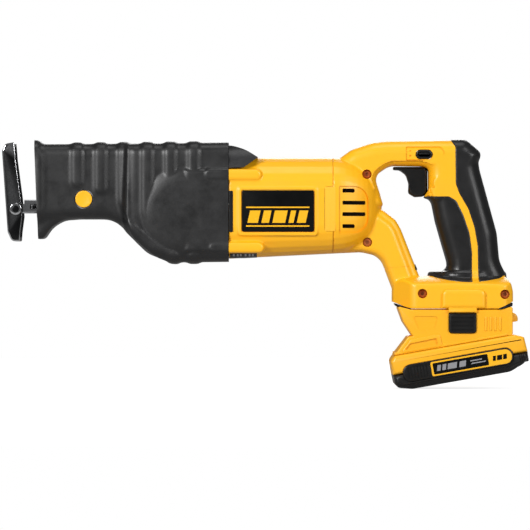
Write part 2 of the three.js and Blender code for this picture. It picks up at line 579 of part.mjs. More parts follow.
function makeHandleShells() {
  const outer = join(
    handleBody(0),
    bar(housingSection(0), 0, 1.5),
    cut(bar(housingSection(0), -7, 1), box(-20, 20, -30.4, 30.4, -60, 60), box(-20, 20, -60, 60, 17.2, 60),
      box(-20, 20, -60, 60, -60, -20.6)),
    box(tongue.x0, tongue.x1, -tongue.half, tongue.half, -86, tongue.z1),
    box(tongue.x0, tongue.x1, -tongue.half, -ADAPTER_HALF - 0.4, tongue.z0, -80),
    box(tongue.x0, tongue.x1, ADAPTER_HALF + 0.4, tongue.half, tongue.z0, -80),
  );
  const cavity = handleBody(SHELL_WALL, GRIP_WALL);
  const barrelMouth = bar(housingSection(SHELL_WALL), -20, 2);
  const stemWay = tiltedBox(STEM_U - STEM_HALF_LENGTH - FIT, STEM_U + STEM_HALF_LENGTH + FIT,
    -STEM_HALF_WIDTH - FIT, STEM_HALF_WIDTH + FIT, 38, STEM_TOP + 4);
  const triggerWay = box(76, 96, -TRIGGER_HALF - FIT, TRIGGER_HALF + FIT, 8.2, 34.4);
  const lockHole = prism(stadium(lockOff.x0 - FIT, lockOff.x1 + FIT, lockOff.z0 - FIT, lockOff.z1 + FIT), -40, 40);
  const vents = [[0, 10, 14.2], [0, 19.5, 3.8], [0, 19.5, -6], [0, 10, -16.3]].map(([from, to, z]) =>
    cut(box(8 + from, 8 + to, -60, 60, z - 1.2, z + 1.2), box(0, 50, -16, 16, -40, 40)),
  );
  const padSeat = cut(gripBody(-1), gripBody(PAD_THICK + FIT));
  const pads = join(
    padSeat.intersect(slab(frontPad, 60, { round: 0.1, inset: -FIT, segments: 1 })),
    padSeat.intersect(slab(rearPad, 60, { round: 0.1, inset: -FIT, segments: 1 })),
  );
  const bosses = screwPlaces.map(([x, z, seat]) =>
    cut(rod("y", 6.4, -60, seat, x, z, 16).intersect(handleBody(0.2)),
      box(x - 9, x + 9, -FIT / 2, FIT / 2, z - 9, z + 9)),
  );
  const screwHoles = screwPlaces.map(([x, z, seat]) =>
    join(rod("y", SCREW_HEAD_R + 0.7, -60, -seat, x, z, 16), rod("y", SCREW_R + FIT, -seat - 1, seat - 2, x, z, 12)),
  );
  const hollow = cut(join(cavity, barrelMouth), ...bosses);
  const shell = cut(outer, hollow, stemWay, triggerWay, lockHole, pads, ...vents, ...screwHoles);
  return [-1, 1].map((side) => largest(shell.intersect(halfSpace(side))));
}

function makePad(shape, side) {
  const skin = cut(gripBody(0), gripBody(PAD_THICK));
  return largest(skin.intersect(prism(shape, -60, 60)).intersect(halfSpace(side)));
}

function makeScrew(seat) {
  const head = rod("y", SCREW_HEAD_R, -seat - 2.4, -seat - 0.1, 0, 0, 16);
  const shank = rod("y", SCREW_R, -seat - 0.5, seat - 3, 0, 0, 10);
  const socket = rod("y", 1.5, -seat - 3, -seat - 1, 0, 0, 6);
  return cut(join(head, shank), socket);
}

const makeTrigger = () => slab(triggerOutline, TRIGGER_HALF, { round: 1, segments: 1 });

function makeSwitch() {
  const half = ARM_HALF - GRIP_WALL - FIT;
  const tabs = box(100, 106, -half, half, 18, 30);
  return join(box(93, 113, -11, 11, 10, 33), tabs);
}

function makeLockOff() {
  const body = prism(stadium(lockOff.x0, lockOff.x1, lockOff.z0, lockOff.z1), -ARM_HALF - 0.6, ARM_HALF - 3.4);
  const z = (lockOff.z0 + lockOff.z1) / 2;
  const ridge = prism(stadium(lockOff.x0 + 2, lockOff.x1 - 2, z - 1.2, z + 1.2), -ARM_HALF - 1, -ARM_HALF + 0.2);
  return cut(body, ridge);
}

// ---------------------------------------------------------------- adapter and pack
const adapterOutline = outline(
  [55, -84.6], [66.2, -87.8], [143.4, -87.8], [153.6, -84.8], [153.9, -108.9], [93, -119.7], [80, -122],
  [67.9, -110.9], [60.5, -98.7], [56.8, -89.4],
);

function makeAdapter() {
  const frontBlock = new THREE.ExtrudeGeometry(outline([-54.6, PACK_SEAM + FIT], [-13, PACK_SEAM + FIT], [-13, 30], [-39, 30]), {
    depth: 2 * ADAPTER_HALF,
    bevelEnabled: false,
  });
  frontBlock.translate(0, 0, -ADAPTER_HALF).rotateX(Math.PI / 2);
  const outer = join(slab(adapterOutline, ADAPTER_HALF, { round: 3 }), tilted(frontBlock),
    rod("y", 6.2, -6, 6, 153, -96.4, 20));
  const inner = slab(adapterOutline, ADAPTER_HALF, { round: 3, inset: 2.6 });
  const belowSeam = tiltedBox(-90, 90, -60, 60, -40, PACK_SEAM + FIT);
  const neck = tiltedBox(-42, 90, -RAIL_NECK_HALF - 0.4, RAIL_NECK_HALF + 0.4, 0, 22);
  const head = tiltedBox(-42, 90, -RAIL_HEAD_HALF - 0.4, RAIL_HEAD_HALF + 0.4, PACK_SEAM + 3, PACK_SEAM + 10.4);
  const lips = cut(tiltedBox(-45, 47, -27, 27, PACK_SEAM + FIT, PACK_SEAM + 12.5), neck, head);
  const stemHole = tiltedBox(STEM_U - STEM_HALF_LENGTH - FIT, STEM_U + STEM_HALF_LENGTH + FIT,
    -STEM_HALF_WIDTH - FIT, STEM_HALF_WIDTH + FIT, PACK_SEAM + 10, 60);
  const buttonHole = box(98.9, 122.9, -60, 60, -108.5, -90.9);
  const buttonRoom = cut(buttonHole, box(0, 300, -27, 27, -200, 0));
  const shell = cut(outer, inner.subtract(tiltedBox(-90, 90, -60, 60, 0, PACK_SEAM + 12.5)), belowSeam, neck, head, stemHole, buttonRoom);
  return largest(join(shell, cut(lips.intersect(outer), stemHole)));
}

function makeStem() {
  const body = tiltedBox(STEM_U - STEM_HALF_LENGTH, STEM_U + STEM_HALF_LENGTH, -STEM_HALF_WIDTH, STEM_HALF_WIDTH,
    PACK_SEAM + 10.8, STEM_TOP);
  const slots = [-7, 0, 7].map((y) => tiltedBox(STEM_U - 8, STEM_U + 8, y - 1, y + 1, STEM_TOP - 9, STEM_TOP + 1));
  return cut(body, ...slots);
}

function makeAdapterButton(side) {
  const y0 = side < 0 ? -ADAPTER_HALF - 2.2 : 30;
  const y1 = side < 0 ? -30 : ADAPTER_HALF + 2.2;
  const body = box(99.3, 122.5, y0, y1, -108.1, -91.3);
  const grooves = [0, 1, 2].map((i) => {
    const z = -95.5 - i * 3;
    const face = side * (ADAPTER_HALF + 2.2);
    return box(102, 120, face - 0.6, face + 0.6, z - 0.5, z + 0.5);
  });
  return cut(body, ...grooves);
}

const PACK_END = PACK_LENGTH / 2;
const upperPackOutline = outline(
  [-PACK_END, FIT / 2], [-PACK_END, 12], [-PACK_END + 3.6, PACK_SEAM], [PACK_END - 10, PACK_SEAM],
  [PACK_END - 1.4, 13], [PACK_END, FIT / 2],
);
const lowerPackOutline = outline(
  [-PACK_END, -FIT / 2], [-PACK_END + 0.3, -8], [-PACK_END + 3, -12], [-PACK_END + 9, PACK_BASE],
  [PACK_END - 14, PACK_BASE], [PACK_END - 5, -10.4], [PACK_END - 0.4, -6], [PACK_END, -FIT / 2],
);
const latch = { u0: PACK_END - 8, u1: PACK_END + 1, half: 13, w0: -9, w1: -1.2 };

function makeUpperPack() {
  const cover = slab(upperPackOutline, PACK_HALF, { round: 3 });
  const neck = box(-40, 46, -RAIL_NECK_HALF, RAIL_NECK_HALF, PACK_SEAM - 1, PACK_SEAM + 4);
  const head = box(-40, 46, -RAIL_HEAD_HALF, RAIL_HEAD_HALF, PACK_SEAM + 3.6, PACK_SEAM + 9.6);
  const room = box(-PACK_END + 8, PACK_END - 10, -PACK_HALF + 2.6, PACK_HALF - 2.6, -5, PACK_SEAM - 2.4);
  const contacts = [-12, -6, 0, 6, 12].map((y) => box(-41, -22, y - 1, y + 1, PACK_SEAM + 5, PACK_SEAM + 11));
  return cut(join(cover, neck, head), room, ...contacts);
}

function makeLowerPack() {
  const tray = slab(lowerPackOutline, PACK_HALF, { round: 3 });
  const room = box(-PACK_END + 8, PACK_END - 10, -PACK_HALF + 2.6, PACK_HALF - 2.6, PACK_BASE + 2.5, 5);
  const latchRoom = box(latch.u0 - 4, latch.u1 + 5, -latch.half - FIT, latch.half + FIT, latch.w0 - FIT, latch.w1 + FIT);
  return cut(tray, room, latchRoom);
}

function makeLatch() {
  const body = box(latch.u0, latch.u1, -latch.half, latch.half, latch.w0, latch.w1);
  const grooves = [0, 1, 2].map((i) => {
    const w = latch.w0 + 2 + i * 2;
    return box(latch.u1 - 0.7, latch.u1 + 1, -latch.half + 2, latch.half - 2, w - 0.4, w + 0.4);
  });
  return cut(body, ...grooves);
}

// ---------------------------------------------------------------- labels and cap
function makeTopCap() {
  const shape = new THREE.Shape();
  shape.moveTo(BOOT_REAR - 0.6, NOSE_TOP - 1.2);
  shape.quadraticCurveTo(BOOT_REAR + 16, NOSE_TOP - 3.5, BOOT_REAR + 26.5, HOUSING_TOP + 0.6);
  shape.lineTo(BOOT_REAR + 14, HOUSING_TOP - 8.6);
  shape.lineTo(BOOT_REAR + 2.3, HOUSING_TOP - 9);
  shape.lineTo(BOOT_REAR - 0.6, HOUSING_TOP - 9);
  const section = roundedRectangle(CHAMBER_HALF - 2, -60, NOSE_TOP + 2, 24);
  const wedge = prism(shape, -60, 60, 5).intersect(bar(section, BOOT_REAR - 5, BOOT_REAR + 40));
  const keepOut = join(bar(housingSection(-FIT), HOUSING_FRONT - FIT, SEAM_X),
    bar(housingSection(3), BOOT_REAR - 6, HOUSING_FRONT));
  return largest(cut(wedge, keepOut, noseBody(-FIT), box(-100, BOOT_REAR + 0.2, -60, 60, -60, HOUSING_TOP)));
}

function makeSideLabel(side) {
  const y0 = side < 0 ? -HOUSING_HALF - 1.1 : HOUSING_HALF + FIT;
  const y1 = side < 0 ? -HOUSING_HALF - FIT : HOUSING_HALF + 1.1;
  return box(HOUSING_FRONT + 10.7, SEAM_X - 16.3, y0, y1, -15.2, 14.2);
}

// ---------------------------------------------------------------- assembly
const saw = new THREE.Group();
const nose = new THREE.Group();
const handle = new THREE.Group();
handle.position.x = SEAM_X;
const pack = new THREE.Group();
pack.position.set(109, 0, -134);
pack.rotation.y = THREE.MathUtils.degToRad(-PACK_TILT);
const shoe = new THREE.Group();
shoe.position.set(PIVOT_X, 0, PIVOT_Z);
shoe.rotation.y = THREE.MathUtils.degToRad(-SHOE_TILT);
handle.add(pack);
nose.add(shoe);
saw.add(nose, handle);

nose.add(
  piece("front_boot", makeBoot(), RUBBER),
  piece("gear_case", makeGearCase(), CAST),
  piece("gear_case_cover", makeCaseCover(), CAST),
  piece("top_cap", makeTopCap(), RUBBER),
  piece("crank_gear", makeCrankGear(), STEEL),
  piece("crank_roller", ring("y", ROLLER_R, CRANK_PIN_R + FIT, 2 * FIT, GEAR_Y - FIT, 0, STROKE / 2, 20), STEEL),
  piece("crank_bearing", ring("y", 11, 6 + FIT, GEAR_Y + GEAR_THICK + 1.2, GEAR_Y + GEAR_THICK + 7.2), STEEL),
  piece("plunger", makePlunger(), STEEL),
  piece("plunger_bushing", ring("x", PLUNGER_R + BUSH_WALL + FIT, PLUNGER_R + FIT, BUSH_FRONT + 3, BUSH_REAR, 0, PLUNGER_Z), BRONZE),
  piece("plunger_seal", ring("x", PLUNGER_R + BUSH_WALL + FIT, PLUNGER_R + FIT, BUSH_FRONT, BUSH_FRONT + 2.7, 0, PLUNGER_Z), BLACK),
  piece("blade_clamp", makeClampBody(), DARK_STEEL),
  piece("clamp_collar", makeClampCollar(), DARK_STEEL),
  piece("shoe_post", makePost(), STEEL),
  piece("shoe_release_button", makeReleaseButton(), YELLOW),
);
shoe.add(piece("shoe_plate", makeShoe(), DARK_STEEL), piece("shoe_pivot_pin", makePivotPin(), STEEL));

nose.add(
  piece("motor_housing", makeMotorHousing(), YELLOW),
  piece("motor_can", makeCan(), STEEL),
  piece("upper_magnet", makeMagnet(1), DARK_STEEL),
  piece("lower_magnet", makeMagnet(-1), DARK_STEEL),
  piece("motor_shaft", rod("x", SHAFT_R, GEAR_INNER_R - 0.3, MOTOR_REAR + 14, 0, 0, 16), STEEL),
  piece("pinion", makePinion(), STEEL),
  piece("armature", makeArmature(), COPPER),
  piece("commutator", ring("x", 9, SHAFT_R + FIT, MOTOR_REAR - 8, MOTOR_REAR + 4), COPPER),
  piece("cooling_fan", makeFan(), BLACK),
  piece("front_bearing", ring("x", 10.7, SHAFT_R + FIT, BOOT_REAR - 5, BOOT_REAR - 1.2), STEEL),
  piece("rear_bearing", ring("x", 9.5, SHAFT_R + FIT, MOTOR_REAR + 9, MOTOR_REAR + 13), STEEL),
  piece("brush_ring", makeBrushRing(), BLACK),
  piece("left_brush", makeBrush(-1), CARBON),
  piece("right_brush", makeBrush(1), CARBON),
  piece("left_side_plate", makeSideLabel(-1), BLACK),
  piece("right_side_plate", makeSideLabel(1), BLACK),
);

const [leftShell, rightShell] = makeHandleShells();
handle.add(
  piece("left_handle_shell", leftShell, YELLOW),
  piece("right_handle_shell", rightShell, YELLOW),
  piece("left_front_grip", makePad(frontPad, -1), RUBBER),
  piece("right_front_grip", makePad(frontPad, 1), RUBBER),
  piece("left_rear_grip", makePad(rearPad, -1), RUBBER),
  piece("right_rear_grip", makePad(rearPad, 1), RUBBER),
  piece("trigger", makeTrigger(), BLACK),
  piece("trigger_switch", makeSwitch(), BLACK),
  piece("lock_off_button", makeLockOff(), BLACK),
  piece("adapter_housing", makeAdapter(), YELLOW),
  piece("adapter_stem", makeStem(), BLACK),
  piece("left_adapter_button", makeAdapterButton(-1), BLACK),
  piece("right_adapter_button", makeAdapterButton(1), BLACK),
);
screwPlaces.forEach(([x, z, seat], i) => {
  const screw = piece(`handle_screw_${i + 1}`, makeScrew(seat), DARK_STEEL);
  screw.position.set(x, 0, z);
  handle.add(screw);
});

pack.add(
  piece("pack_upper_shell", makeUpperPack(), YELLOW),
  piece("pack_lower_shell", makeLowerPack(), BLACK),
  piece("pack_latch_button", makeLatch(), BLACK),
);
const cell = surface(rod("y", CELL_R, -CELL_LENGTH / 2, CELL_LENGTH / 2, 0, 0, 20));
for (let i = 0; i < CELLS; i++) {
  const mesh = new THREE.Mesh(cell, CELL_WRAP);
  mesh.name = `battery_cell_${i + 1}`;
  mesh.position.set((i - (CELLS - 1) / 2) * (2 * CELL_R + 0.6), 0, PACK_BASE + 2.5 + CELL_R + FIT);
  pack.add(mesh);
}

// The origin is under the middle of the saw, at the height of its lowest point.
const extent = new THREE.Box3().setFromObject(saw, true);
const middle = extent.getCenter(new THREE.Vector3());
saw.position.set(-middle.x, -middle.y, -extent.min.z);

export default saw;
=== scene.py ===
"""A cordless reciprocating saw, built round its CAD frame.

Shapes are made in millimetres in the saw's own axes: X runs back from the crank gear's centre along the motor axis,
Y to the tool's right and Z up. finish_piece() moves each one to its place in the frame, in metres.
"""

import json
from math import cos, pi, radians, sin, tan

import bmesh
import bpy
from mathutils import Matrix, Vector


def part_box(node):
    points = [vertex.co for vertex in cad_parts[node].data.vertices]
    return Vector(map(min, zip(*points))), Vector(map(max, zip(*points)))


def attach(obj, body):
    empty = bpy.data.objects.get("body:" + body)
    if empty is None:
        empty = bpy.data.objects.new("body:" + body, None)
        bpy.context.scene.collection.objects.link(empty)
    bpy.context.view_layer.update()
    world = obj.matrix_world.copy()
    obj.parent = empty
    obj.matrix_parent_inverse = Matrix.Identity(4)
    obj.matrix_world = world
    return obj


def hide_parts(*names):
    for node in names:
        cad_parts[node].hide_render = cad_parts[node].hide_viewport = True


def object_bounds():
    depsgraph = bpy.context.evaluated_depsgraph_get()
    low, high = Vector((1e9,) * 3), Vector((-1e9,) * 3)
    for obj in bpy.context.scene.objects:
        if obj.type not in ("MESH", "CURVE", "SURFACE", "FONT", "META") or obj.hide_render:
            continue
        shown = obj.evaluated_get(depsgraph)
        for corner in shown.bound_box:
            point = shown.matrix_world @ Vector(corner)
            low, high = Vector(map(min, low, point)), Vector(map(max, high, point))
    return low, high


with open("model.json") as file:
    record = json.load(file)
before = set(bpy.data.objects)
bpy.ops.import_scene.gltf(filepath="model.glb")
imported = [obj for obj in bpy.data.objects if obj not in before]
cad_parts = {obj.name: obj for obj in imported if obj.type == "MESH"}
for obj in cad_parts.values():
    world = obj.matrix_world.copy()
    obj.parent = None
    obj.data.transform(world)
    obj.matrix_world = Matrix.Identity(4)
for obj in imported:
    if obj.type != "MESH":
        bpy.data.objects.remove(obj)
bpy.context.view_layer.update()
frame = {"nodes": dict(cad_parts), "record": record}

MM = 0.001


def middle(node):
    low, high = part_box(node)
    return (low + high) / 2


CRANK = Vector((middle("crank_gear").x, 0, middle("motor_shaft").z))
TO_FRAME = Matrix.Translation(CRANK) @ Matrix.Scale(MM, 4)


def side(y):
    return -1 if y < 0 else 1


# ------------------------------------------------------------------ camera
LENS = 320.0
SENSOR = 36.0
VIEW_WIDTH = 458.0 * MM
VIEW_CENTRE = CRANK + Vector((70.6, 0, -49.7)) * MM


def make_camera():
    data = bpy.data.cameras.new("camera")
    data.lens, data.sensor_width = LENS, SENSOR
    camera = bpy.data.objects.new("camera", data)
    distance = VIEW_WIDTH * LENS / SENSOR
    camera.location = VIEW_CENTRE - Vector((0, distance, 0))
    camera.rotation_euler = (radians(90), 0, 0)
    data.clip_start, data.clip_end = 0.05, 50
    bpy.context.scene.collection.objects.link(camera)
    bpy.context.scene.camera = camera


make_camera()


# ------------------------------------------------------------------ shaping helpers
WELD = 1e-4  # points nearer than this are one
REACH = 60  # past the tool's side in either direction
CREASE_ANGLE = 34  # degrees above which an edge is drawn sharp


def placed(obj):
    bpy.context.scene.collection.objects.link(obj)
    return obj


def from_bmesh(bm, name):
    mesh = bpy.data.meshes.new(name)
    bm.to_mesh(mesh)
    bm.free()
    return placed(bpy.data.objects.new(name, mesh))


def work_object(bm):
    """A bmesh as an object that modifiers can be applied to. Its faces are turned outwards."""
    bmesh.ops.remove_doubles(bm, verts=bm.verts, dist=WELD)
    bmesh.ops.recalc_face_normals(bm, faces=bm.faces)
    return from_bmesh(bm, "work")


def apply(obj, kind, **settings):
    """Puts a modifier on and keeps its result as the mesh."""
    modifier = obj.modifiers.new(kind, kind)
    for key, value in settings.items():
        setattr(modifier, key, value)
    graph = bpy.context.evaluated_depsgraph_get()
    mesh = bpy.data.meshes.new_from_object(obj.evaluated_get(graph))
    obj.modifiers.clear()
    old, obj.data = obj.data, mesh
    bpy.data.meshes.remove(old)
    return obj


def drop(obj):
    mesh = obj.data
    bpy.data.objects.remove(obj)
    bpy.data.meshes.remove(mesh)


def copy(obj):
    return placed(bpy.data.objects.new(obj.name, obj.data.copy()))


def boolean(obj, operation, tools, keep=False):
    for tool in tools:
        apply(obj, "BOOLEAN", operation=operation, object=tool, solver="MANIFOLD")
        if not keep:
            drop(tool)
    return obj


def join(obj, *others):
    return boolean(obj, "UNION", others)


def cut(obj, *tools, keep=False):
    return boolean(obj, "DIFFERENCE", tools, keep)


def common(obj, tool, keep=False):
    return boolean(obj, "INTERSECT", [tool], keep)


def gathered(*objs):
    """Closed bodies that overlap, put into one mesh for blended() to melt together."""
    bm = bmesh.new()
    for obj in objs:
        bm.from_mesh(obj.data)
        drop(obj)
    return work_object(bm)


def blended(obj, voxel=1.0, rounds=6):
    """Melts joined bodies into one skin with soft fillets, as in a moulding."""
    apply(obj, "REMESH", mode="VOXEL", voxel_size=voxel)
    return apply(obj, "SMOOTH", factor=0.5, iterations=rounds)


def grown(obj, amount):
    """A copy of a dense skin moved out along its normals, or in if the amount is negative."""
    twin = copy(obj)
    twin.data.update()
    normals = [v.normal.copy() for v in twin.data.vertices]
    for vertex, normal in zip(twin.data.vertices, normals):
        vertex.co += normal * amount
    return twin


def sunk(obj, region, depth):
    """Sinks the skin inside a region by a depth, with a crisp step at its edge."""
    floor = grown(obj, -depth)
    return cut(obj, cut(region, floor))


def corner_reach(vert, radius):
    """How far a corner's rounding reaches along its edges, at most half the shorter one."""
    a, b = [(e.other_vert(vert).co - vert.co).normalized() for e in vert.link_edges]
    shortest = min(e.calc_length() for e in vert.link_edges)
    return min(radius / tan(max(a.angle(b), 0.02) / 2), shortest * 0.495)


def outline_face(points, to_3d):
    """A flat face in a new bmesh from an outline of (u, v) or (u, v, corner radius) points."""
    bm = bmesh.new()
    verts = [bm.verts.new(to_3d(p[0], p[1])) for p in points]
    bm.faces.new(verts)
    corners = [(vert, corner_reach(vert, point[2])) for vert, point in zip(verts, points) if len(point) > 2]
    for vert, reach in corners:
        bmesh.ops.bevel(bm, geom=[vert], offset=reach, offset_type="OFFSET", segments=6, profile=0.5,
                        affect="VERTICES", clamp_overlap=True, material=-1)
    return bm


def soften(bm, edges, reach, segments=3, clamped=True):
    bmesh.ops.bevel(bm, geom=edges, offset=reach, offset_type="OFFSET", segments=segments, profile=0.5,
                    affect="EDGES", clamp_overlap=clamped, material=-1)


def carried(bm, travel, edge=0.0, segments=3):
    """Carries a flat face along a vector and softens the rims of its two ends."""
    face = bm.faces[:][0]
    start = face.calc_center_median()
    out = bmesh.ops.extrude_face_region(bm, geom=[face])
    moved = [g for g in out["geom"] if isinstance(g, bmesh.types.BMVert)]
    bmesh.ops.translate(bm, verts=moved, vec=travel)
    bmesh.ops.recalc_face_normals(bm, faces=bm.faces)
    if edge:
        along = travel.normalized()
        rims = []
        for e in bm.edges:
            height = (e.verts[0].co - start).dot(along)
            if abs((e.verts[1].co - e.verts[0].co).dot(along)) < WELD:
                if abs(height) < 1e-3 or abs(height - travel.length) < 1e-3:
                    rims.append(e)
        soften(bm, rims, edge, segments, clamped=False)
    return bm


def slab(points, y0, y1, edge=0.0, segments=3, tilt=None):
    """An outline in X and Z carried across Y. A tilt matrix places it on a sloping part."""
    bm = outline_face(points, lambda x, z: (x, y0, z))
    carried(bm, Vector((0, y1 - y0, 0)), edge, segments)
    if tilt:
        bmesh.ops.transform(bm, matrix=tilt, verts=bm.verts)
    return work_object(bm)


def through(points):
    """A slab wide enough to cut through the whole tool."""
    return slab(points, -REACH, REACH)


def bar(points, x0, x1):
    """A section in Y and Z carried along X."""
    bm = outline_face(points, lambda y, z: (x0, y, z))
    return work_object(carried(bm, Vector((x1 - x0, 0, 0))))


def pillar(points, z0, z1):
    """A plan in X and Y carried up Z."""
    bm = outline_face(points, lambda x, y: (x, y, z0))
    return work_object(carried(bm, Vector((0, 0, z1 - z0))))


def box(x0, x1, y0, y1, z0, z1, edge=0.0, tilt=None):
    bm = bmesh.new()
    bmesh.ops.create_cube(bm, size=1)
    bmesh.ops.scale(bm, vec=(x1 - x0, y1 - y0, z1 - z0), verts=bm.verts)
    bmesh.ops.translate(bm, vec=((x0 + x1) / 2, (y0 + y1) / 2, (z0 + z1) / 2), verts=bm.verts)
    if edge:
        soften(bm, bm.edges[:], edge)
    if tilt:
        bmesh.ops.transform(bm, matrix=tilt, verts=bm.verts)
    return work_object(bm)


def wide(x0, x1, z0, z1):
    """A box right across the tool."""
    return box(x0, x1, -REACH, REACH, z0, z1)


def rod(axis, radius, start, end, at=(0, 0), edge=0.0, sides=48):
    """A round bar along X, Y or Z through a point given by its other two coordinates."""
    bm = bmesh.new()
    bmesh.ops.create_cone(bm, cap_ends=True, segments=sides, radius1=radius, radius2=radius, depth=end - start)
    if edge:
        rims = [e for e in bm.edges if abs(e.verts[0].co.z - e.verts[1].co.z) < 1e-5]
        soften(bm, rims, edge)
    turn = {"x": Matrix.Rotation(pi / 2, 4, "Y"), "y": Matrix.Rotation(-pi / 2, 4, "X"), "z": Matrix()}[axis]
    middle_at = (start + end) / 2
    place = {"x": (middle_at, *at), "y": (at[0], middle_at, at[1]), "z": (*at, middle_at)}[axis]
    bmesh.ops.transform(bm, matrix=Matrix.Translation(place) @ turn, verts=bm.verts)
    return work_object(bm)


def ball(centre, radii):
    bm = bmesh.new()
    bmesh.ops.create_uvsphere(bm, u_segments=64, v_segments=40, radius=1)
    bmesh.ops.scale(bm, vec=radii, verts=bm.verts)
    bmesh.ops.translate(bm, vec=centre, verts=bm.verts)
    return work_object(bm)


def turned(profile, at, sides=96):
    """A solid turned about an axis along Y; profile holds (radius, y) from the axis out and back to it."""
    bm = bmesh.new()
    verts = [bm.verts.new((at[0] + radius, y, at[1])) for radius, y in profile]
    edges = [bm.edges.new(pair) for pair in zip(verts, verts[1:])]
    bmesh.ops.spin(bm, geom=verts + edges, cent=(at[0], 0, at[1]), axis=(0, 1, 0), angle=2 * pi, steps=sides,
                   use_merge=True)
    return work_object(bm)


def rect(u0, u1, v0, v1, corner=None):
    """Outline of a rectangle, with its corners rounded if a radius is given."""
    points = [(u0, v0), (u1, v0), (u1, v1), (u0, v1)]
    return points if corner is None else [(*point, corner) for point in points]


def footed(u0, u1, v0, v1, corner):
    """Outline of a rectangle that is rounded at its foot only."""
    return [(u0, v0, corner), (u1, v0, corner), (u1, v1), (u0, v1)]


def leaning(u, width, v0, v1, shift):
    """Outline of a bar that leans back."""
    return [(u, v0), (u + width, v0), (u + width + shift, v1), (u + shift, v1)]


def capsule(x0, x1, z0, z1):
    """Outline of a straight slot with round ends."""
    return rect(x0, x1, z0, z1, (z1 - z0) / 2 * 0.999)


def finish_piece(obj, name, body, material, *nodes, slot):
    """Names a shape, puts it in the frame in metres, shades it, hangs it on what it rides on and hides the CAD parts it
    stands for.
    """
    bm = bmesh.new()
    bm.from_mesh(obj.data)
    drop(obj)
    bmesh.ops.remove_doubles(bm, verts=bm.verts, dist=WELD)
    bmesh.ops.transform(bm, matrix=TO_FRAME, verts=bm.verts)
    limit = radians(CREASE_ANGLE)
    for face in bm.faces:
        face.smooth = True
    for edge in bm.edges:
        edge.smooth = len(edge.link_faces) == 2 and edge.calc_face_angle(0) < limit
    piece = from_bmesh(bm, name)
    piece.data.materials.append(material)
    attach(piece, body)
    if nodes:
        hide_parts(*nodes)
    return piece


# ------------------------------------------------------------------ materials
def hex_colour(code):
    """An sRGB hex colour as linear RGBA."""
    channels = [int(code[i:i + 2], 16) / 255 for i in (1, 3, 5)]
    return (*[c / 12.92 if c <= 0.04045 else ((c + 0.055) / 1.055) ** 2.4 for c in channels], 1)


def add(tree, kind, inputs=None, **settings):
    """One node with its settings and what its sockets hold or are linked to."""
    node = tree.nodes.new(kind)
    for key, value in settings.items():
        setattr(node, key, value)
    for key, value in (inputs or {}).items():
        if isinstance(value, bpy.types.NodeSocket):
            tree.links.new(value, node.inputs[key])
        else:
            node.inputs[key].default_value = value
    return node


def surface(name, colour, shade, roughness, rough_range=0.08, metallic=0.0, grain_mm=0.5, grain_depth=0.02,
            mottle_mm=18.0, wear=None, wear_amount=0.5, brushed=None, sheen=0.0, coat=0.0, specular=0.5):
    """A finish with grain, uneven colour and gloss, and wear on its outer edges.

    grain_mm is the size of its texture, mottle_mm that of its uneven patches, and brushed the axis scale of its lines.
    """
    material = bpy.data.materials.new(name)
    material.use_nodes = True
    tree = material.node_tree
    tree.nodes.clear()
    place = add(tree, "ShaderNodeTexCoord").outputs["Object"]
    grain_place = place
    if brushed:
        grain_place = add(tree, "ShaderNodeMapping", {"Vector": place, "Scale": brushed}).outputs["Vector"]
    grain = add(tree, "ShaderNodeTexNoise",
                {"Vector": grain_place, "Scale": 1 / (grain_mm * MM), "Detail": 3.0, "Roughness": 0.55})
    mottle = add(tree, "ShaderNodeTexNoise",
                 {"Vector": place, "Scale": 1 / (mottle_mm * MM), "Detail": 4.0, "Roughness": 0.6})
    tint = add(tree, "ShaderNodeMix",
               {"Factor": mottle.outputs["Fac"], "A": hex_colour(colour), "B": hex_colour(shade)}, data_type="RGBA")
    tint_out = tint.outputs["Result"]
    if wear:
        edge = add(tree, "ShaderNodeMapRange",
                   {"Value": add(tree, "ShaderNodeNewGeometry").outputs["Pointiness"], "From Min": 0.52,
                    "From Max": 0.62, "To Max": wear_amount})
        patchy = add(tree, "ShaderNodeMath", {0: edge.outputs["Result"], 1: grain.outputs["Fac"]}, operation="MULTIPLY")
        tint_out = add(tree, "ShaderNodeMix", {"Factor": patchy.outputs["Value"], "A": tint_out, "B": hex_colour(wear)},
                       data_type="RGBA").outputs["Result"]
    rough = add(tree, "ShaderNodeMapRange",
                {"Value": mottle.outputs["Fac"], "From Min": 0.3, "From Max": 0.7,
                 "To Min": roughness - rough_range / 2, "To Max": roughness + rough_range / 2})
    bump = add(tree, "ShaderNodeBump", {"Height": grain.outputs["Fac"], "Strength": 1.0, "Distance": grain_depth * MM})
    shader = add(tree, "ShaderNodeBsdfPrincipled",
                 {"Base Color": tint_out, "Roughness": rough.outputs["Result"], "Metallic": metallic,
                  "Normal": bump.outputs["Normal"], "Specular IOR Level": specular})
    if sheen:
        shader.inputs["Sheen Weight"].default_value = sheen
        shader.inputs["Sheen Roughness"].default_value = 0.5
    if coat:
        shader.inputs["Coat Weight"].default_value = coat
        shader.inputs["Coat Roughness"].default_value = 0.12
    add(tree, "ShaderNodeOutputMaterial", {"Surface": shader.outputs["BSDF"]})
    return material


# Glass-filled nylon moulded in a spark-eroded tool: satin, with a broad soft highlight. The grain is drawn coarser.
YELLOW_NYLON = surface("yellow_nylon", "#fdb916", "#fab20f", 0.38, grain_mm=1.3, grain_depth=0.02, wear="#ffd468",
                       wear_amount=0.35)
# The battery and its adapter get a slightly deeper copy of the yellow: painted shade on the low-lying parts of the
# tool.
PACK_NYLON_PAINTED_SHADE = surface("pack_nylon_painted_shade", "#f9b414", "#f2ab10", 0.38, grain_mm=1.3, grain_depth=0.02, wear="#ffc95c",
                     wear_amount=0.35)
# The same nylon in black, for buttons and the pack's tray: a little glossier on its crowns.
BLACK_NYLON = surface("black_nylon", "#070707", "#0d0d0d", 0.30, grain_mm=0.6, grain_depth=0.015, wear="#4a4a4a",
                      specular=0.4)
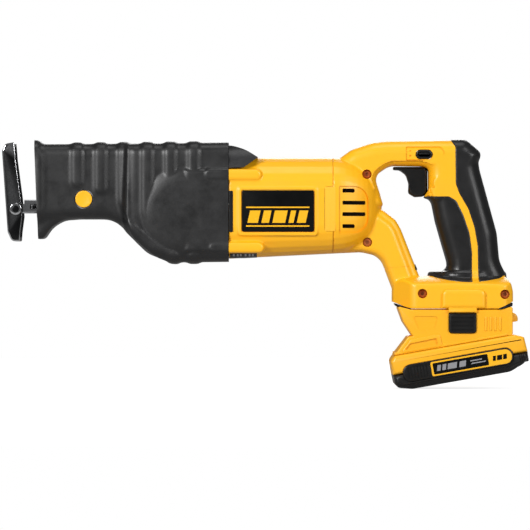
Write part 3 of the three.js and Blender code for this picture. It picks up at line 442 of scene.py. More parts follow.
# Soft thermoplastic rubber of the grip: dark grey, dull, with a fine leather-like texture.
GRIP_RUBBER = surface("grip_rubber", "#0b0b0c", "#131314", 0.36, rough_range=0.12, grain_mm=1.3, grain_depth=0.03,
                      wear="#4c4c4e", sheen=0.03, specular=0.42)
# Thick moulded rubber of the boot: black, uneven and dusty. Its grain is drawn coarser than real, or it wouldn't show.
BOOT_RUBBER = surface("boot_rubber", "#030304", "#151516", 0.42, rough_range=0.14, grain_mm=1.5, grain_depth=0.045,
                      mottle_mm=11, wear="#6c6c6d", wear_amount=0.1, sheen=0.03, specular=0.55)
# Printed polycarbonate film: flat, smooth and glossy.
LABEL_FILM = surface("label_film", "#020202", "#040404", 0.30, grain_mm=2.0, grain_depth=0.003, specular=0.2)
# Screen-printed inks under a thin gloss varnish.
LABEL_YELLOW = surface("label_yellow_ink", "#f6b81c", "#f1b013", 0.28, grain_mm=2.0, grain_depth=0.003, coat=0.3)
LABEL_GREY = surface("label_grey_ink", "#8f8f92", "#85858a", 0.3, grain_mm=2.0, grain_depth=0.003, coat=0.3)
# Nickel-chromed steel of the shoe and its post.
CHROME = surface("chromed_steel", "#c9cacc", "#bfc0c2", 0.12, metallic=1.0, grain_mm=1.5, grain_depth=0.004)
# Blackened steel plate, bright where it rubs.
BLACK_STEEL = surface("blackened_steel", "#0e0e0f", "#161618", 0.26, metallic=0.8, grain_mm=0.8, grain_depth=0.01,
                      wear="#a5a6a8", wear_amount=0.9)
# Ground and cast metals inside, seen only when the tool is opened: fine lines on steel, grain on castings.
STEEL = surface("ground_steel", "#b7b8ba", "#a9aaad", 0.28, metallic=1.0, grain_mm=0.5, grain_depth=0.01,
                brushed=(0.15, 1, 1))
CAST_ALUMINIUM = surface("die_cast_aluminium", "#a2a3a5", "#939496", 0.48, metallic=1.0, grain_mm=0.9,
                         grain_depth=0.05)
SINTERED_BRONZE = surface("sintered_bronze", "#a7793e", "#946a34", 0.5, metallic=1.0, grain_mm=0.5, grain_depth=0.04)
# Motor parts: bright copper bars and dull pressed carbon.
COPPER = surface("copper", "#b8734a", "#a5623c", 0.32, metallic=1.0, grain_mm=0.6, grain_depth=0.01)
CARBON = surface("pressed_carbon", "#232323", "#2c2c2c", 0.6, grain_mm=0.4, grain_depth=0.03)
# Heat-shrunk sleeve of the cells, smooth and a little glossy, and the matt rubber of seals.
CELL_WRAP = surface("shrink_wrap", "#1f7d84", "#1b7279", 0.3, grain_mm=3.0, grain_depth=0.01)
SEAL_RUBBER = surface("nitrile_rubber", "#1c1c1c", "#222222", 0.6, grain_mm=0.5, grain_depth=0.02)
# Screw heads deep in their recesses: their brown-orange colour is painted shade, with a painted reflection of the
# yellow round them.
SCREW_PAINTED_SHADE_BOUNCE = surface("screw_steel_painted_shade_and_bounce", "#b8652f", "#a05526", 0.42, metallic=0.3, grain_mm=0.4, grain_depth=0.01)


# ------------------------------------------------------------------ nose: boot, release button, cap
NOSE_HALF, CHAMBER_HALF = 29.0, 35.4
NOSE_TOP, NOSE_FLOOR, MOUTH = 53.9, -10.3, -126.0
BOOT_REAR = 39.2
RIB_PITCH, RIB_HALF, RIB_ROUND, RIB_TOP = 20.0, 5, 4.9, 80
NOSE_RIB = MOUTH + 35.5
BULGE_FACE = 37.9
BULGE_AT = (0.3, -3.0)
# Radius, and how far the bulge has fallen away from its face there.
BULGE_CROWN = ((0, 0), (20, 0.05), (26, 0.25), (29.5, 0.65), (32.5, 1.25), (35, 1.95), (37.2, 2.8), (38.8, 3.9),
               (39.5, 5))
BOSS_FACE = BULGE_FACE + 0.2
RELEASE = (-85.0, 6.9)
CAPSULE_BOSSES = ((17.7, 22.6, 33.4), (21.4, -39.5, -30.0))

NOSE_SIDE = [(MOUTH - 24, NOSE_TOP), (0, NOSE_TOP + 1.2), (0, -34, 10), (-34.5, -36.5, 14), (-56, -13.3, 30),
             (-66, NOSE_FLOOR, 20), (MOUTH - 24, NOSE_FLOOR)]
CHAMBER_SIDE = [(-49, NOSE_TOP + 0.5, 6), (BOOT_REAR + 14, NOSE_TOP + 2), (BOOT_REAR + 14, -46.9), (-10, -47.6, 16),
                (-30, -40.2, 20), (-52, -18.5, 12)]
CHIN_SIDE = [(MOUTH - 8, 20), (-92, 20), (-92, NOSE_FLOOR - 0.3), (-103, -11.2, 16), (-113, -17.5, 14),
             (-119.6, -27.3, 2.2), (MOUTH - 8, -27.3)]
LIP_SIDE = [(MOUTH - 9, 58.2), (-122.8, 57.6, 2), (-119.2, 53.6, 6), (-112, 50), (-112, -4), (-119, -13, 4),
            (MOUTH - 9, -13)]


def make_boot():
    body = join(slab(NOSE_SIDE, -NOSE_HALF, NOSE_HALF, edge=8.5, segments=5),
                slab(CHAMBER_SIDE, -CHAMBER_HALF, CHAMBER_HALF, edge=9, segments=5))
    chin = slab(CHIN_SIDE, -NOSE_HALF + 5, NOSE_HALF - 5, edge=4, segments=4)
    lip = slab(LIP_SIDE, -NOSE_HALF - 1.4, NOSE_HALF + 1.4, edge=12, segments=6)
    body = blended(join(body, chin, lip), voxel=1.0, rounds=10)
    inside = blended(grown(body, -1.7), voxel=1.2, rounds=1)

    # Ribs: two short ones on the nose, two that sweep back round the chamber, two over the bulge and two under it.
    middles = [NOSE_RIB + i * RIB_PITCH for i in range(6)]
    ribs = [through(footed(x - RIB_HALF, x + RIB_HALF, foot, RIB_TOP, RIB_ROUND))
            for x, foot in zip(middles, (17.0, 11.5))]
    sweeps = (
        [(-55.5, 80), (-55.5, 4, 20), (-50, -10, 20), (-20, -35, 30), (-8, -40), (-12, -46), (-24, -41, 30),
         (-46, -22, 20), (-45.6, 0, 20), (-45.6, 80)],
        [(-35.3, 80), (-35.3, 2, 30), (-35, -8, 20), (-26, -22), (-23, -18), (-31, -6, 20), (-25.3, 6, 20),
         (-25.3, 80)],
    )
    ribs += [through(sweep) for sweep in sweeps]
    for x in middles[4:]:
        ribs.append(through(rect(x - RIB_HALF, x + RIB_HALF, 20, RIB_TOP)))
    for x in (-8.3, 9.3):
        ribs.append(through([(x - RIB_HALF, -REACH), (x + RIB_HALF, -REACH), (x + RIB_HALF, -37.5, RIB_ROUND),
                             (x - RIB_HALF, -37.5, RIB_ROUND)]))
    # Each rib stands up in two steps, which the blending turns into a soft crown.
    low, proud = grown(body, 0.75), grown(body, 1.5)
    ribbed = [common(grown(rib, -1.9), proud, keep=True) for rib in ribs]
    ribbed += [common(rib, low, keep=True) for rib in ribs]
    drop(low)
    drop(proud)
    body = blended(join(body, *ribbed), voxel=1.0, rounds=6)

    # The crank bulge is a shallow turned dome, with a tail that runs out at the boot's rear edge.
    flank = [(radius, BULGE_FACE - fall) for radius, fall in BULGE_CROWN]
    bulge = turned([(radius, -y) for radius, y in flank] + flank[::-1], BULGE_AT)
    bulge_tail = slab(rect(1, BOOT_REAR + 14, 32.8, -39.2), -BULGE_FACE + 0.3, BULGE_FACE - 0.3, edge=3.4, segments=5)
    body = join(body, bulge, bulge_tail)
    for x, z0, z1 in CAPSULE_BOSSES:
        body = join(body, slab(capsule(x, BOOT_REAR + 20, z0, z1), -BOSS_FACE, BOSS_FACE, edge=2.8, segments=5))
    body = blended(body, voxel=1.0, rounds=2)

    ahead = through([(-190, 90), (-128.9, 90), (-123.9, -40), (-190, -40)])
    behind = wide(BOOT_REAR, 90, -70, 90)
    release_hole = rod("y", 8.4, -REACH, 0, at=RELEASE)
    body = cut(body, ahead, behind, inside, release_hole)
    finish_piece(body, "rubber_boot", "tool", BOOT_RUBBER, "front_boot", slot="grey_rubber")


def make_release_button():
    face = -NOSE_HALF - 1.1
    cap = rod("y", 7.2, face, face + 1.9, at=RELEASE, edge=0.6, sides=64)
    dish = ball((RELEASE[0], face - 38.4, RELEASE[1]), (39, 39, 39))
    cap = cut(cap, dish)
    stem = rod("y", 3.5, face + 1.4, -15, at=RELEASE)
    finish_piece(join(cap, stem), "release_button", "release", YELLOW_NYLON, "shoe_release_button",
                 slot="yellow_plastic")


def make_top_cap():
    wedge = through([(38.0, 53.3), (44, 52.6, 20), (54, 49.4, 30), (64.4, 42.9), (52.5, 34.2, 3), (38.0, 33.6)])
    roof = bar(rect(-35.2, 35.2, -60, 56, 25), 30, 80)
    wedge = common(wedge, roof)
    barrel = barrel_skin(0.3)
    wedge = cut(wedge, barrel, wide(30, 39.4, -70, 90))
    finish_piece(wedge, "rear_cap", "tool", GRIP_RUBBER, "top_cap", slot="grey_rubber")


# ------------------------------------------------------------------ motor barrel
BARREL_FRONT, BARREL_REAR = 39.6, 128.7
BARREL_HALF, BARREL_TOP, BARREL_FLOOR = 36.5, 42.5, -44.3
BARREL_CORNER = 27.0


def barrel_skin(grow=0.0, front=BARREL_FRONT, rear=BARREL_REAR):
    """The barrel's rounded section, a little deeper at the front than at the rear."""
    half = BARREL_HALF + grow
    points = rect(-half, half, BARREL_FLOOR - grow, BARREL_TOP + grow, BARREL_CORNER + grow)
    bm = outline_face(points, lambda y, z: (front, y, z))
    carried(bm, Vector((rear - front, 0, 0)))
    for vert in bm.verts:
        if vert.co.z < 0:
            rise = (vert.co.x - BARREL_FRONT) / (BARREL_REAR - BARREL_FRONT)
            vert.co.z *= 1 - 0.1 * rise
    return work_object(bm)


LABEL = (50.8, 112.6, -21.2, 14.2)


def make_barrel():
    body = barrel_skin(0, BARREL_FRONT, 140)
    for x1, z0, z1 in ((67.9, 22.6, 32.6), (70.0, -39.5, -30.2)):
        body = join(body, slab(capsule(20, x1, z0, z1), -BARREL_HALF - 1.0, BARREL_HALF + 1.0, edge=2.8, segments=5))
    x0, x1, z0, z1 = LABEL
    frame_rim = slab(rect(x0 - 3.6, x1 + 3.2, z0 - 3.4, z1 + 3.2, 3), -BARREL_HALF - 0.8, BARREL_HALF + 0.8, edge=0.8)
    body = blended(join(body, frame_rim), voxel=0.9, rounds=2)
    body = cut(body, wide(20, BARREL_FRONT, -70, 70), wide(BARREL_REAR, 160, -70, 70))
    body = sunk(body, through(rect(x0 - 0.7, x1 + 0.7, z0 - 0.7, z1 + 0.7, 1.6)), 1.1)
    tab = through([(121.6, -20.9, 2), (140, -20.9), (140, 17.5), (121.6, 17.5, 2)])
    tab = cut(tab, box(0, 300, -28, 28, -REACH, REACH))
    inner = barrel_skin(-2.8, BARREL_FRONT + 3, 160)
    nose_hole = rod("x", 24, 20, BARREL_FRONT + 6)
    body = cut(body, tab, inner, nose_hole)
    finish_piece(body, "motor_barrel", "tool", YELLOW_NYLON, "motor_housing", slot="yellow_plastic")


def make_window_strips():
    """Black strips on both sides of the barrel, just behind the boot."""
    for s, name in ((-1, "left_window_strip"), (1, "right_window_strip")):
        strip = slab(rect(39.7, 43.2, -21.4, 13.9, 0.6), s * 34.5, s * 37.1, edge=0.4)
        finish_piece(strip, name, "tool", BLACK_NYLON, slot="black_plastic")


def make_side_labels():
    """Black film on the raised frame, with two thin lines and a row of slanted bars between them."""
    x0, x1, z0, z1 = LABEL
    for s, node, name in ((-1, "left_side_plate", "left_label"), (1, "right_side_plate", "right_label")):
        face = s * 37.35
        plate = slab(rect(x0, x1, z0, z1, 1.4), s * 35.0, face, edge=0.35)
        finish_piece(plate, name, "tool", LABEL_FILM, node, slot="black_plastic")
        ink = face + s * 0.12
        back = face - s * 0.3
        marks = slab(rect(54.4, 108.6, -0.9, 0.3), back, ink)
        marks = join(marks, slab(rect(54.4, 108.6, -16.9, -15.7), back, ink))
        for x, width in ((55.5, 9.0), (67.4, 6.5), (76.8, 11.0), (90.6, 4.4), (97.8, 7.6)):
            marks = join(marks, slab(leaning(x, width, -13.6, -3.0, 2.332), back, ink))
        finish_piece(marks, name + "_bars", "tool", LABEL_YELLOW, slot="yellow_plastic")


def make_rating_label():
    """A small black film low on the barrel's near side, with a row of plain ticks."""
    skin = barrel_skin(0)
    apply(skin, "REMESH", mode="VOXEL", voxel_size=1.0)
    film = common(grown(skin, 0.25), box(40.6, 63.6, -REACH, 0, -43.9, -38.4))
    film = cut(film, grown(skin, -0.3))
    ink = grown(skin, 0.34)
    ticks = [common(box(x, x + 1.5, -REACH, 0, -42.2, -40.2), ink, keep=True)
             for x in (43, 46.4, 49, 53.2, 56.6, 59.4)]
    marks = cut(join(*ticks), skin)
    drop(ink)
    finish_piece(film, "rating_label", "tool", LABEL_FILM, slot="black_plastic")
    finish_piece(marks, "rating_label_ticks", "tool", LABEL_GREY, slot="black_plastic")


# ------------------------------------------------------------------ handle
DOME_LENGTH = 42.5
DOME_FLOOR = -39.9
ARM_HALF, STRUT_HALF = 19.3, 17.2
FOOT_MIDDLE = 245.2
SHELL = 2.8

ARM = [(126, 40), (135, 42.3, 4), (145.3, 49.7, 14), (163.1, 55.6, 25), (175, 56.9, 20), (243.6, 57.9, 6),
       (257, 46.4, 5), (253.9, 39.1, 8), (249, 18), (211.7, 14), (211.7, 33.8, 4), (206, 35.4, 3), (178, 35.8, 13),
       (167.8, 28.8, 5), (166.0, 23.5, 6), (168.4, 16, 8), (172.5, 2), (150, -10), (126, -10)]
GRIP = [(228, 56), (244, 56.5, 6), (256.8, 46.4, 4), (253.9, 39.1, 8), (255.1, 31.8, 10), (269.9, -22.4, 30),
        (272.0, -46.4, 20), (277.8, -58.2, 1.5), (277.5, -70), (215, -70), (213.3, -57.4, 1), (224.3, -55.6, 3),
        (228.4, -51.6, 3), (227.9, -46.4, 10), (224.2, -33.9, 20), (218.0, -12, 20), (214.9, 3.7, 6), (212.3, 7.6, 2),
        (207, 8.8, 1), (211.3, 15), (211.3, 33), (222, 50)]
STRUT = [(150, 6), (173.2, -3.1, 3), (183.2, -10.9, 6), (187.5, -18.2, 6), (203.2, -58.4, 1), (205, -70), (181, -72),
         (171.3, -46.4, 12), (165.1, -41.3, 10), (153.8, -38.7, 20), (126, -40), (126, 6)]
STRUT_FACE = [(150, 0), (169.5, -6.2, 3), (179.8, -14, 6), (183.6, -20, 6), (198.4, -59), (201, -70), (182, -72),
              (172.3, -45.8, 12), (165.6, -40.4, 10), (153.8, -37.6, 20), (135, -38), (135, 0)]
BASE_PLAN = [(180.3, -14, 6), (197, -34.5, 9), (277, -34.5, 5), (283.6, -28, 5), (283.6, 28, 5), (277, 34.5, 5),
             (197, 34.5, 9), (180.3, 14, 6)]
BASE_SIDE = [(176, -95), (180.2, -72, 3), (183.3, -64, 5), (197, -58.5), (277, -58.5), (282, -66.1, 4), (284, -74),
             (284, -95)]
BASE_CORNERS = ([(170, -78), (180.2, -81.2, 2), (196.5, -87.6), (196.5, -95), (170, -95)],
                [(290, -78), (284, -80.6, 2), (270.5, -87.6), (270.5, -95), (290, -95)])
FRONT_PAD = [(200, 9.2), (228.8, 9.4, 3), (235.1, 5.8, 6), (241.3, -6.7, 10), (246.6, -22.4, 20), (248.6, -38, 20),
             (248.6, -75), (200, -75)]
REAR_PAD = [(230.4, 80), (230.9, 57, 3), (234.4, 52, 4), (234.6, 20.4, 10), (237.7, 12, 10), (245.5, -1.5, 10),
            (250.7, -17.2, 10), (253.4, -32.7, 10), (254.4, -75), (300, -75), (300, 80)]
SCREWS = ((158.2, 28.4, 13.5), (158.7, -30.1, 13.5), (205.6, -74.2, 27.0), (276.3, -74.8, 27.0))
PACK_AT = Matrix.Translation((238, 0, -134)) @ Matrix.Rotation(radians(-10), 4, "Y")
SEAM_LEVEL = 16.4
SHELL_GAP, PAD_GAP = 0.12, 0.01  # each side of the middle
PAD_SEAT, PAD_PROUD, PAD_DEPTH = 1.9, 0.7, 1.6
TRIGGER_SIDE = 8.9
# The path of the trigger and its switch through the grip.
TRIGGER_WAY = [(200, 8.3), (214.2, 8.3), (218.4, 12.4), (226, 12.4), (226, 35.4), (200, 35.4)]


def packed(points, y0, y1, edge=0.0, segments=3):
    """A slab in the battery pack's tilted axes."""
    return slab(points, y0, y1, edge, segments, tilt=PACK_AT)


def packed_box(u0, u1, y0, y1, w0, w1, edge=0.0):
    return box(u0, u1, y0, y1, w0, w1, edge, tilt=PACK_AT)


def dome_skin(inset=0.0, front=128.9, steps=12):
    """The barrel's section carried back in steps that shrink along a quarter ellipse."""
    half = BARREL_HALF - inset
    points = rect(-half, half, DOME_FLOOR + inset, BARREL_TOP - inset, BARREL_CORNER - inset)
    bm = outline_face(points, lambda y, z: (front, y, z))
    length = DOME_LENGTH - inset
    level = (BARREL_TOP + DOME_FLOOR) / 2
    tip = bm.faces[:][0]
    reach, size = 0.0, 1.0
    for step in range(1, steps + 1):
        angle = step / steps * pi / 2
        new_reach, new_size = length * sin(angle), max(cos(angle), 0.03)
        last = tip
        out = bmesh.ops.extrude_face_region(bm, geom=[last])
        tip = [g for g in out["geom"] if isinstance(g, bmesh.types.BMFace)][0]
        if step > 1 and last.is_valid:
            bmesh.ops.delete(bm, geom=[last], context="FACES_ONLY")
        bmesh.ops.translate(bm, verts=tip.verts[:], vec=(new_reach - reach, 0, 0))
        here = Matrix.Translation((0, 0, -level))
        bmesh.ops.scale(bm, vec=(1, new_size / size, new_size / size), space=here, verts=tip.verts[:])
        reach, size = new_reach, new_size
    return work_object(bm)


def oval(half_x, half_y, z0, z1, edge=0.0):
    """An upright oval disc under the grip."""
    bm = bmesh.new()
    bmesh.ops.create_cone(bm, cap_ends=True, segments=96, radius1=1, radius2=1, depth=z1 - z0)
    bmesh.ops.scale(bm, vec=(half_x, half_y, 1), verts=bm.verts)
    bmesh.ops.translate(bm, vec=(FOOT_MIDDLE, 0, (z0 + z1) / 2), verts=bm.verts)
    if edge:
        rims = [e for e in bm.edges if e.verts[0].co.z > z1 - 0.01 and e.verts[1].co.z > z1 - 0.01]
        soften(bm, rims, edge)
    return work_object(bm)


def base_block():
    """The base has a crowned top, chamfered front corners and a sloping back."""
    block = pillar(BASE_PLAN, -87.2, -50)
    block = common(block, through(BASE_SIDE))
    crown = gathered(ball((232, 0, -70.5), (160, 37.5, 11.4)), box(150, 310, -50, 50, -100, -70.5))
    apply(crown, "REMESH", mode="VOXEL", voxel_size=1.2)
    return common(block, crown)


def handle_body():
    """Dome, arm, grip, strut and base melted into one skin."""
    body = gathered(
        dome_skin(),
        slab(ARM, -ARM_HALF, ARM_HALF, edge=10, segments=6),
        slab(GRIP, -ARM_HALF, ARM_HALF, edge=12, segments=6),
        slab(STRUT, -STRUT_HALF + 3, STRUT_HALF - 3, edge=5, segments=4),
        slab(STRUT_FACE, -STRUT_HALF, STRUT_HALF, edge=5, segments=4),
        base_block(),
        oval(33.4, 22, -70, -55.9, edge=1.4),
    )
    body = blended(body, voxel=1.0, rounds=6)
    return cut(body, *[through(corner) for corner in BASE_CORNERS], wide(170, 300, -95, -87.15))


def grip_pad(body, region, plan):
    """A rubber skin over one region of the grip, with softened edges."""
    pad = common(through(region), grown(body, PAD_PROUD))
    pad = cut(pad, grown(body, -PAD_DEPTH))
    pad = common(pad, plan)
    apply(pad, "REMESH", mode="VOXEL", voxel_size=0.7)
    return apply(pad, "SMOOTH", factor=0.5, iterations=3)


def foot_plan():
    """The grip above the base, and the oval that its foot spreads over the base's shoulder."""
    return join(oval(34.2, 31.4, -75, -50), box(190, 300, -40, 40, -54, 90))


def halves(obj, gap):
    """Splits a piece down the middle and leaves a gap on each side: near half first."""
    near = common(copy(obj), box(-200, 400, -90, -gap, -200, 200))
    far = common(obj, box(-200, 400, gap, 90, -200, 200))
    return near, far


def make_handle():
    body = handle_body()
    front_pad = grip_pad(body, FRONT_PAD, foot_plan())
    rear_pad = grip_pad(body, REAR_PAD, foot_plan())

    seat = cut(grown(body, 3), grown(body, -PAD_SEAT))
    shell = copy(body)
    for region in (FRONT_PAD, REAR_PAD):
        shell = cut(shell, common(common(through(region), foot_plan()), seat, keep=True))
    drop(seat)

    # Tab that reaches forward over the barrel, the raised tongue over the adapter's buttons, and cheeks beside the
    # lower end of the trigger.
    tab = barrel_skin(0, 121.9, 131)
    tab = cut(tab, box(100, 140, -30.4, 30.4, -REACH, REACH), wide(100, 140, 17.2, 60),
              wide(100, 140, -60, -20.6))
    tongue = slab([(221.8, -87.1), (260, -87.1), (260, -70.2, 5), (221.8, -70.2, 5)], -37.7, 37.7,
                  edge=3.2, segments=5)
    tongue = blended(tongue, voxel=0.7, rounds=3)
    tongue = cut(tongue, wide(200, 270, -95, -86.9))
    lip = slab([(227.9, -90.2, 0.8), (252.1, -90.2, 0.8), (252.1, -80), (227.9, -80)], -36.7, 36.7, edge=0.8)
    tongue = join(tongue, cut(lip, box(200, 270, -33.9, 33.9, -95, -86.5)))
    cheeks = slab([(211.4, 8.6), (224, 8.6), (224, 20), (214, 20), (211.4, 15)], -13.5, 13.5, edge=1)
    shell = join(shell, tab, tongue, cheeks)

    # Vent panel: a half disc, sunk, with four slots.
    disc = through([(134.0, -22.2, 1), (159.4, -22.2, 20), (159.4, 18.0, 20), (134.0, 18.0, 1)])
    shell = sunk(shell, disc, 1.3)
    lock_recess = through([(191.8, 40.2, 1), (214, 40.2, 3), (226.8, 46.2, 5), (222, 52.1, 3), (191.8, 52.1, 1)])
    shell = sunk(shell, lock_recess, 1.2)
    strut_seam = through([(168, -53.4), (194.5, -51.2), (194.5, -50.6), (168, -52.8)])
    shell = sunk(shell, strut_seam, 0.4)
    cutters = [dome_skin(SHELL, 124, 8), barrel_skin(-2.8, 110, 128),
               slab(TRIGGER_WAY, -TRIGGER_SIDE, TRIGGER_SIDE), box(176, 220, -TRIGGER_SIDE, TRIGGER_SIDE, 30, 35.4),
               through(capsule(200.1, 214.9, 41.3, 49.7)),
               packed_box(14.2, 39.8, -12.8, 12.8, 30, 104)]
    for x1, z in ((147.5, 14.2), (156.8, 3.8), (156.8, -6.0), (147.5, -16.3)):
        slot = through([(137, z - 1.8, 0.5), (x1, z - 1.8, 1.2), (x1, z + 1.6, 1.2), (137, z + 1.6, 0.5)])
        cutters.append(cut(slot, box(100, 200, -15, 15, -REACH, REACH)))
    for x, z, seat_y in SCREWS:
        cutters.append(rod("y", 4.1, -REACH, -seat_y, at=(x, z)))
    for z in (44.2, 48.4):
        cutters.append(rod("y", 0.8, -REACH, -17.0, at=(195.6, z), sides=16))
    shell = cut(shell, *cutters)
    drop(body)
    front_pad = cut(front_pad, slab(TRIGGER_WAY, -TRIGGER_SIDE, TRIGGER_SIDE))

    for kind, obj, material, slot, gap in (("handle_shell", shell, YELLOW_NYLON, "yellow_plastic", SHELL_GAP),
                                           ("front_grip", front_pad, GRIP_RUBBER, "grey_rubber", PAD_GAP),
                                           ("rear_grip", rear_pad, GRIP_RUBBER, "grey_rubber", PAD_GAP)):
        near, far = halves(obj, gap)
        for half, s in ((near, -1), (far, 1)):
            word = "left" if side(middle("left_" + kind).y) == s else "right"
            finish_piece(half, word + "_" + kind + "_moulding", "tool", material, word + "_" + kind, slot=slot)


def make_vent_shade_sheets():
    """Black sheets behind the vents, across the hollow dome: painted shade for the dark inside of the housing."""
    for word in ("left", "right"):
        s = side(middle(word + "_handle_shell").y)
        near, far = sorted((s * 17.0, s * 18.4))
        plate = slab([(132.5, -23.5, 1), (160.5, -23.5, 20), (160.5, 19.3, 20), (132.5, 19.3, 1)], near, far)
        finish_piece(common(plate, dome_skin(SHELL, 124, 12)), word + "_vent_shade_sheet", "tool", BLACK_NYLON,
                     slot="black_plastic")


def make_handle_screws():
    for number, (x, z, seat) in enumerate(SCREWS, 1):
        top = -seat - 2.5
        head = rod("y", 3.45, top, -seat + 0.1, at=(x, z), edge=0.7, sides=40)
        shank = rod("y", 1.8, -seat - 0.2, seat - 3, at=(x, z), sides=20)
        lobes = rod("y", 1.25, top - 1, top + 1.7, at=(x, z), sides=20)
        for i in range(6):
            a = i * pi / 3
            lobes = join(lobes, rod("y", 0.5, top - 1, top + 1.7, at=(x + 1.25 * cos(a), z + 1.25 * sin(a)), sides=14))
        name = "handle_screw_%d" % number
        # The heads' brown-orange is painted shade and a painted yellow reflection from the recess.
        finish_piece(cut(join(head, shank), lobes), name + "_star", "tool", SCREW_PAINTED_SHADE_BOUNCE, name, slot="dark_steel")


def make_trigger():
    outline = [(180.9, 35.0, 1), (208.6, 35.0, 1.5), (210.8, 32.5, 1.5), (210.8, 13), (206.9, 9.3, 2), (199.7, 8.8, 3),
               (194.2, 12.2, 2.5), (194.6, 20.4, 8), (192.2, 27.9, 6), (186.8, 32.0, 4), (181.4, 32.2, 1)]
    body = slab(outline, -8.6, 8.6, edge=2.6, segments=5)
    body = blended(body, voxel=0.5, rounds=3)
    finish_piece(body, "trigger_paddle", "trigger", BLACK_NYLON, "trigger", slot="black_plastic")


def make_lock_off():
    near = -ARM_HALF - 0.5
    body = slab(capsule(200.5, 214.5, 41.7, 49.3), near, ARM_HALF - 3.4, edge=0.9)
    rim = slab(capsule(202.2, 212.8, 43.4, 47.6), near - 1, near + 0.9)
    ridge = slab(capsule(203.6, 211.4, 44.7, 46.3), near, near + 2, edge=0.4)
    body = join(cut(body, rim), ridge)
    finish_piece(body, "lock_off_slider", "lock_off", BLACK_NYLON, "lock_off_button", slot="black_plastic")


def make_base_trims():
    """Black inserts under the base's cut-away lower corners."""
    plan = pillar(BASE_PLAN, -95, -75)
    front = [(181.4, -82.3, 1), (195.8, -87.0, 0.4), (195.2, -87.9, 0.4), (183.6, -85.3, 1)]
    rear = [(283.4, -81.4, 1), (270.8, -87.0, 0.4), (271.6, -87.9, 0.4), (283.0, -85.0, 1)]
    for name, points in (("front_base_trim", front), ("rear_base_trim", rear)):
        wedge = common(slab(points, -REACH, REACH, edge=0.3), plan, keep=True)
        finish_piece(wedge, name, "tool", BLACK_NYLON, slot="black_plastic")
    drop(plan)


# ------------------------------------------------------------------ battery adapter
ADAPTER_HALF = 33.5
CATCH = (228.3, 251.5, -108.1, -91.3)


def make_adapter():
    outline = [(184.2, -84.9, 1.5), (195.5, -87.9), (272, -87.9), (283, -85.2, 1.5), (283.2, -140), (196.5, -140),
               (197.4, -110.9, 1.2), (189.3, -98.7, 3)]
    body = slab(outline, -ADAPTER_HALF, ADAPTER_HALF, edge=1.1, segments=3)
    front = packed([(-55, SEAM_LEVEL), (-12, SEAM_LEVEL), (-12, 29.5), (-40, 30.2, 1.5)],
                   -ADAPTER_HALF, ADAPTER_HALF, edge=1.1)
    boss = rod("y", 5.8, -6.5, 6.5, at=(283, -96.3), edge=1.5)
    body = join(body, front, boss)
    for s in (-1, 1):
        y0, y1 = s * (ADAPTER_HALF - 3), s * ADAPTER_HALF + s * 0.9
        for x in (258.8, 262.9, 267.0, 271.1):
            body = join(body, slab(rect(x, x + 2.2, -106.4, -93.9, 1.0), y0, y1, edge=0.7))
        # The block round the front slot stands a little proud of the side.
        body = join(body, packed([(-50, 17, 2), (-12.4, 17, 2), (-12.4, 27.6, 2), (-38.5, 27.6, 2)],
                                 y0, s * ADAPTER_HALF + s * 1.1, edge=1.0))
        # A raised ridge along the seam, as the housing's lower rim.
        rim_top = SEAM_LEVEL + 2.4
        body = join(body, packed([(-54, SEAM_LEVEL, 0.5), (44.5, SEAM_LEVEL, 0.5), (44.5, rim_top, 0.8),
                                  (-54, rim_top, 0.8)], y0, s * ADAPTER_HALF + s * 0.7, edge=0.6))
    cutters = [
        packed_box(-90, 90, -REACH, REACH, -40, SEAM_LEVEL),
        packed_box(-42, 90, -18.4, 18.4, 0, 22),
        packed_box(-42, 90, -22.4, 22.4, 19.1, 26.5),
        packed_box(14.2, 39.8, -12.8, 12.8, 22, 60),
    ]
    x0, x1, z0, z1 = CATCH
    for s in (-1, 1):
        cutters.append(slab(footed(x0 - 0.4, x1 + 0.4, z0 - 0.4, z1 + 0.4, 3), s * 26.5, s * 50))
        cutters.append(slab([(202.6, -105.4, 3), (215.4, -104.6, 3), (219.4, -93.9, 2), (197.4, -93.5, 2)],
                            s * (ADAPTER_HALF - 0.7), s * 50))
        cutters.append(packed([(-45.5, 19.4, 1), (-16.2, 19.4, 1), (-16.2, 24.9, 1), (-39.8, 24.2, 1)],
                              s * (ADAPTER_HALF - 0.6), s * 50))
    body = cut(body, *cutters)
    finish_piece(body, "adapter_moulding", "adapter", PACK_NYLON_PAINTED_SHADE, "adapter_housing", slot="yellow_plastic")


def make_stem():
    body = packed_box(14.5, 39.5, -12.5, 12.5, 26.9, 100, edge=1.2)
    for y in (-7, 0, 7):
        body = cut(body, packed_box(19, 35, y - 1, y + 1, 91, 101))
    for w in (40, 52, 64, 76):
        for s in (-1, 1):
            body = cut(body, packed_box(18, 36, s * 11.7, s * 14, w, w + 7, edge=0.6))
    finish_piece(body, "adapter_stem_moulding", "adapter", BLACK_NYLON, "adapter_stem", slot="black_plastic")


def make_catches():
    x0, x1, z0, z1 = CATCH
    for word in ("left", "right"):
        node = word + "_adapter_button"
        s = side(middle(node).y)
        face = s * 35.8
        body = slab([(x0, z0, 3), (x1, z0, 3), (x1, z1, 0.8), (x0, z1, 0.8)], s * 30, face, edge=0.9)
        for i in range(4):
            z = z1 - 3.2 - i * 3.4
            body = cut(body, slab(rect(x0 + 2.2, x1 - 2.2, z - 1.5, z, 0.5), face - s * 0.9, face + s * 2))
        finish_piece(body, node + "_ridged", word + "_catch", BLACK_NYLON, node, slot="black_plastic")


# ------------------------------------------------------------------ battery pack
PACK_HALF = 37.5
BAND = (-50.0, 46.0, -8.0, 6.6)


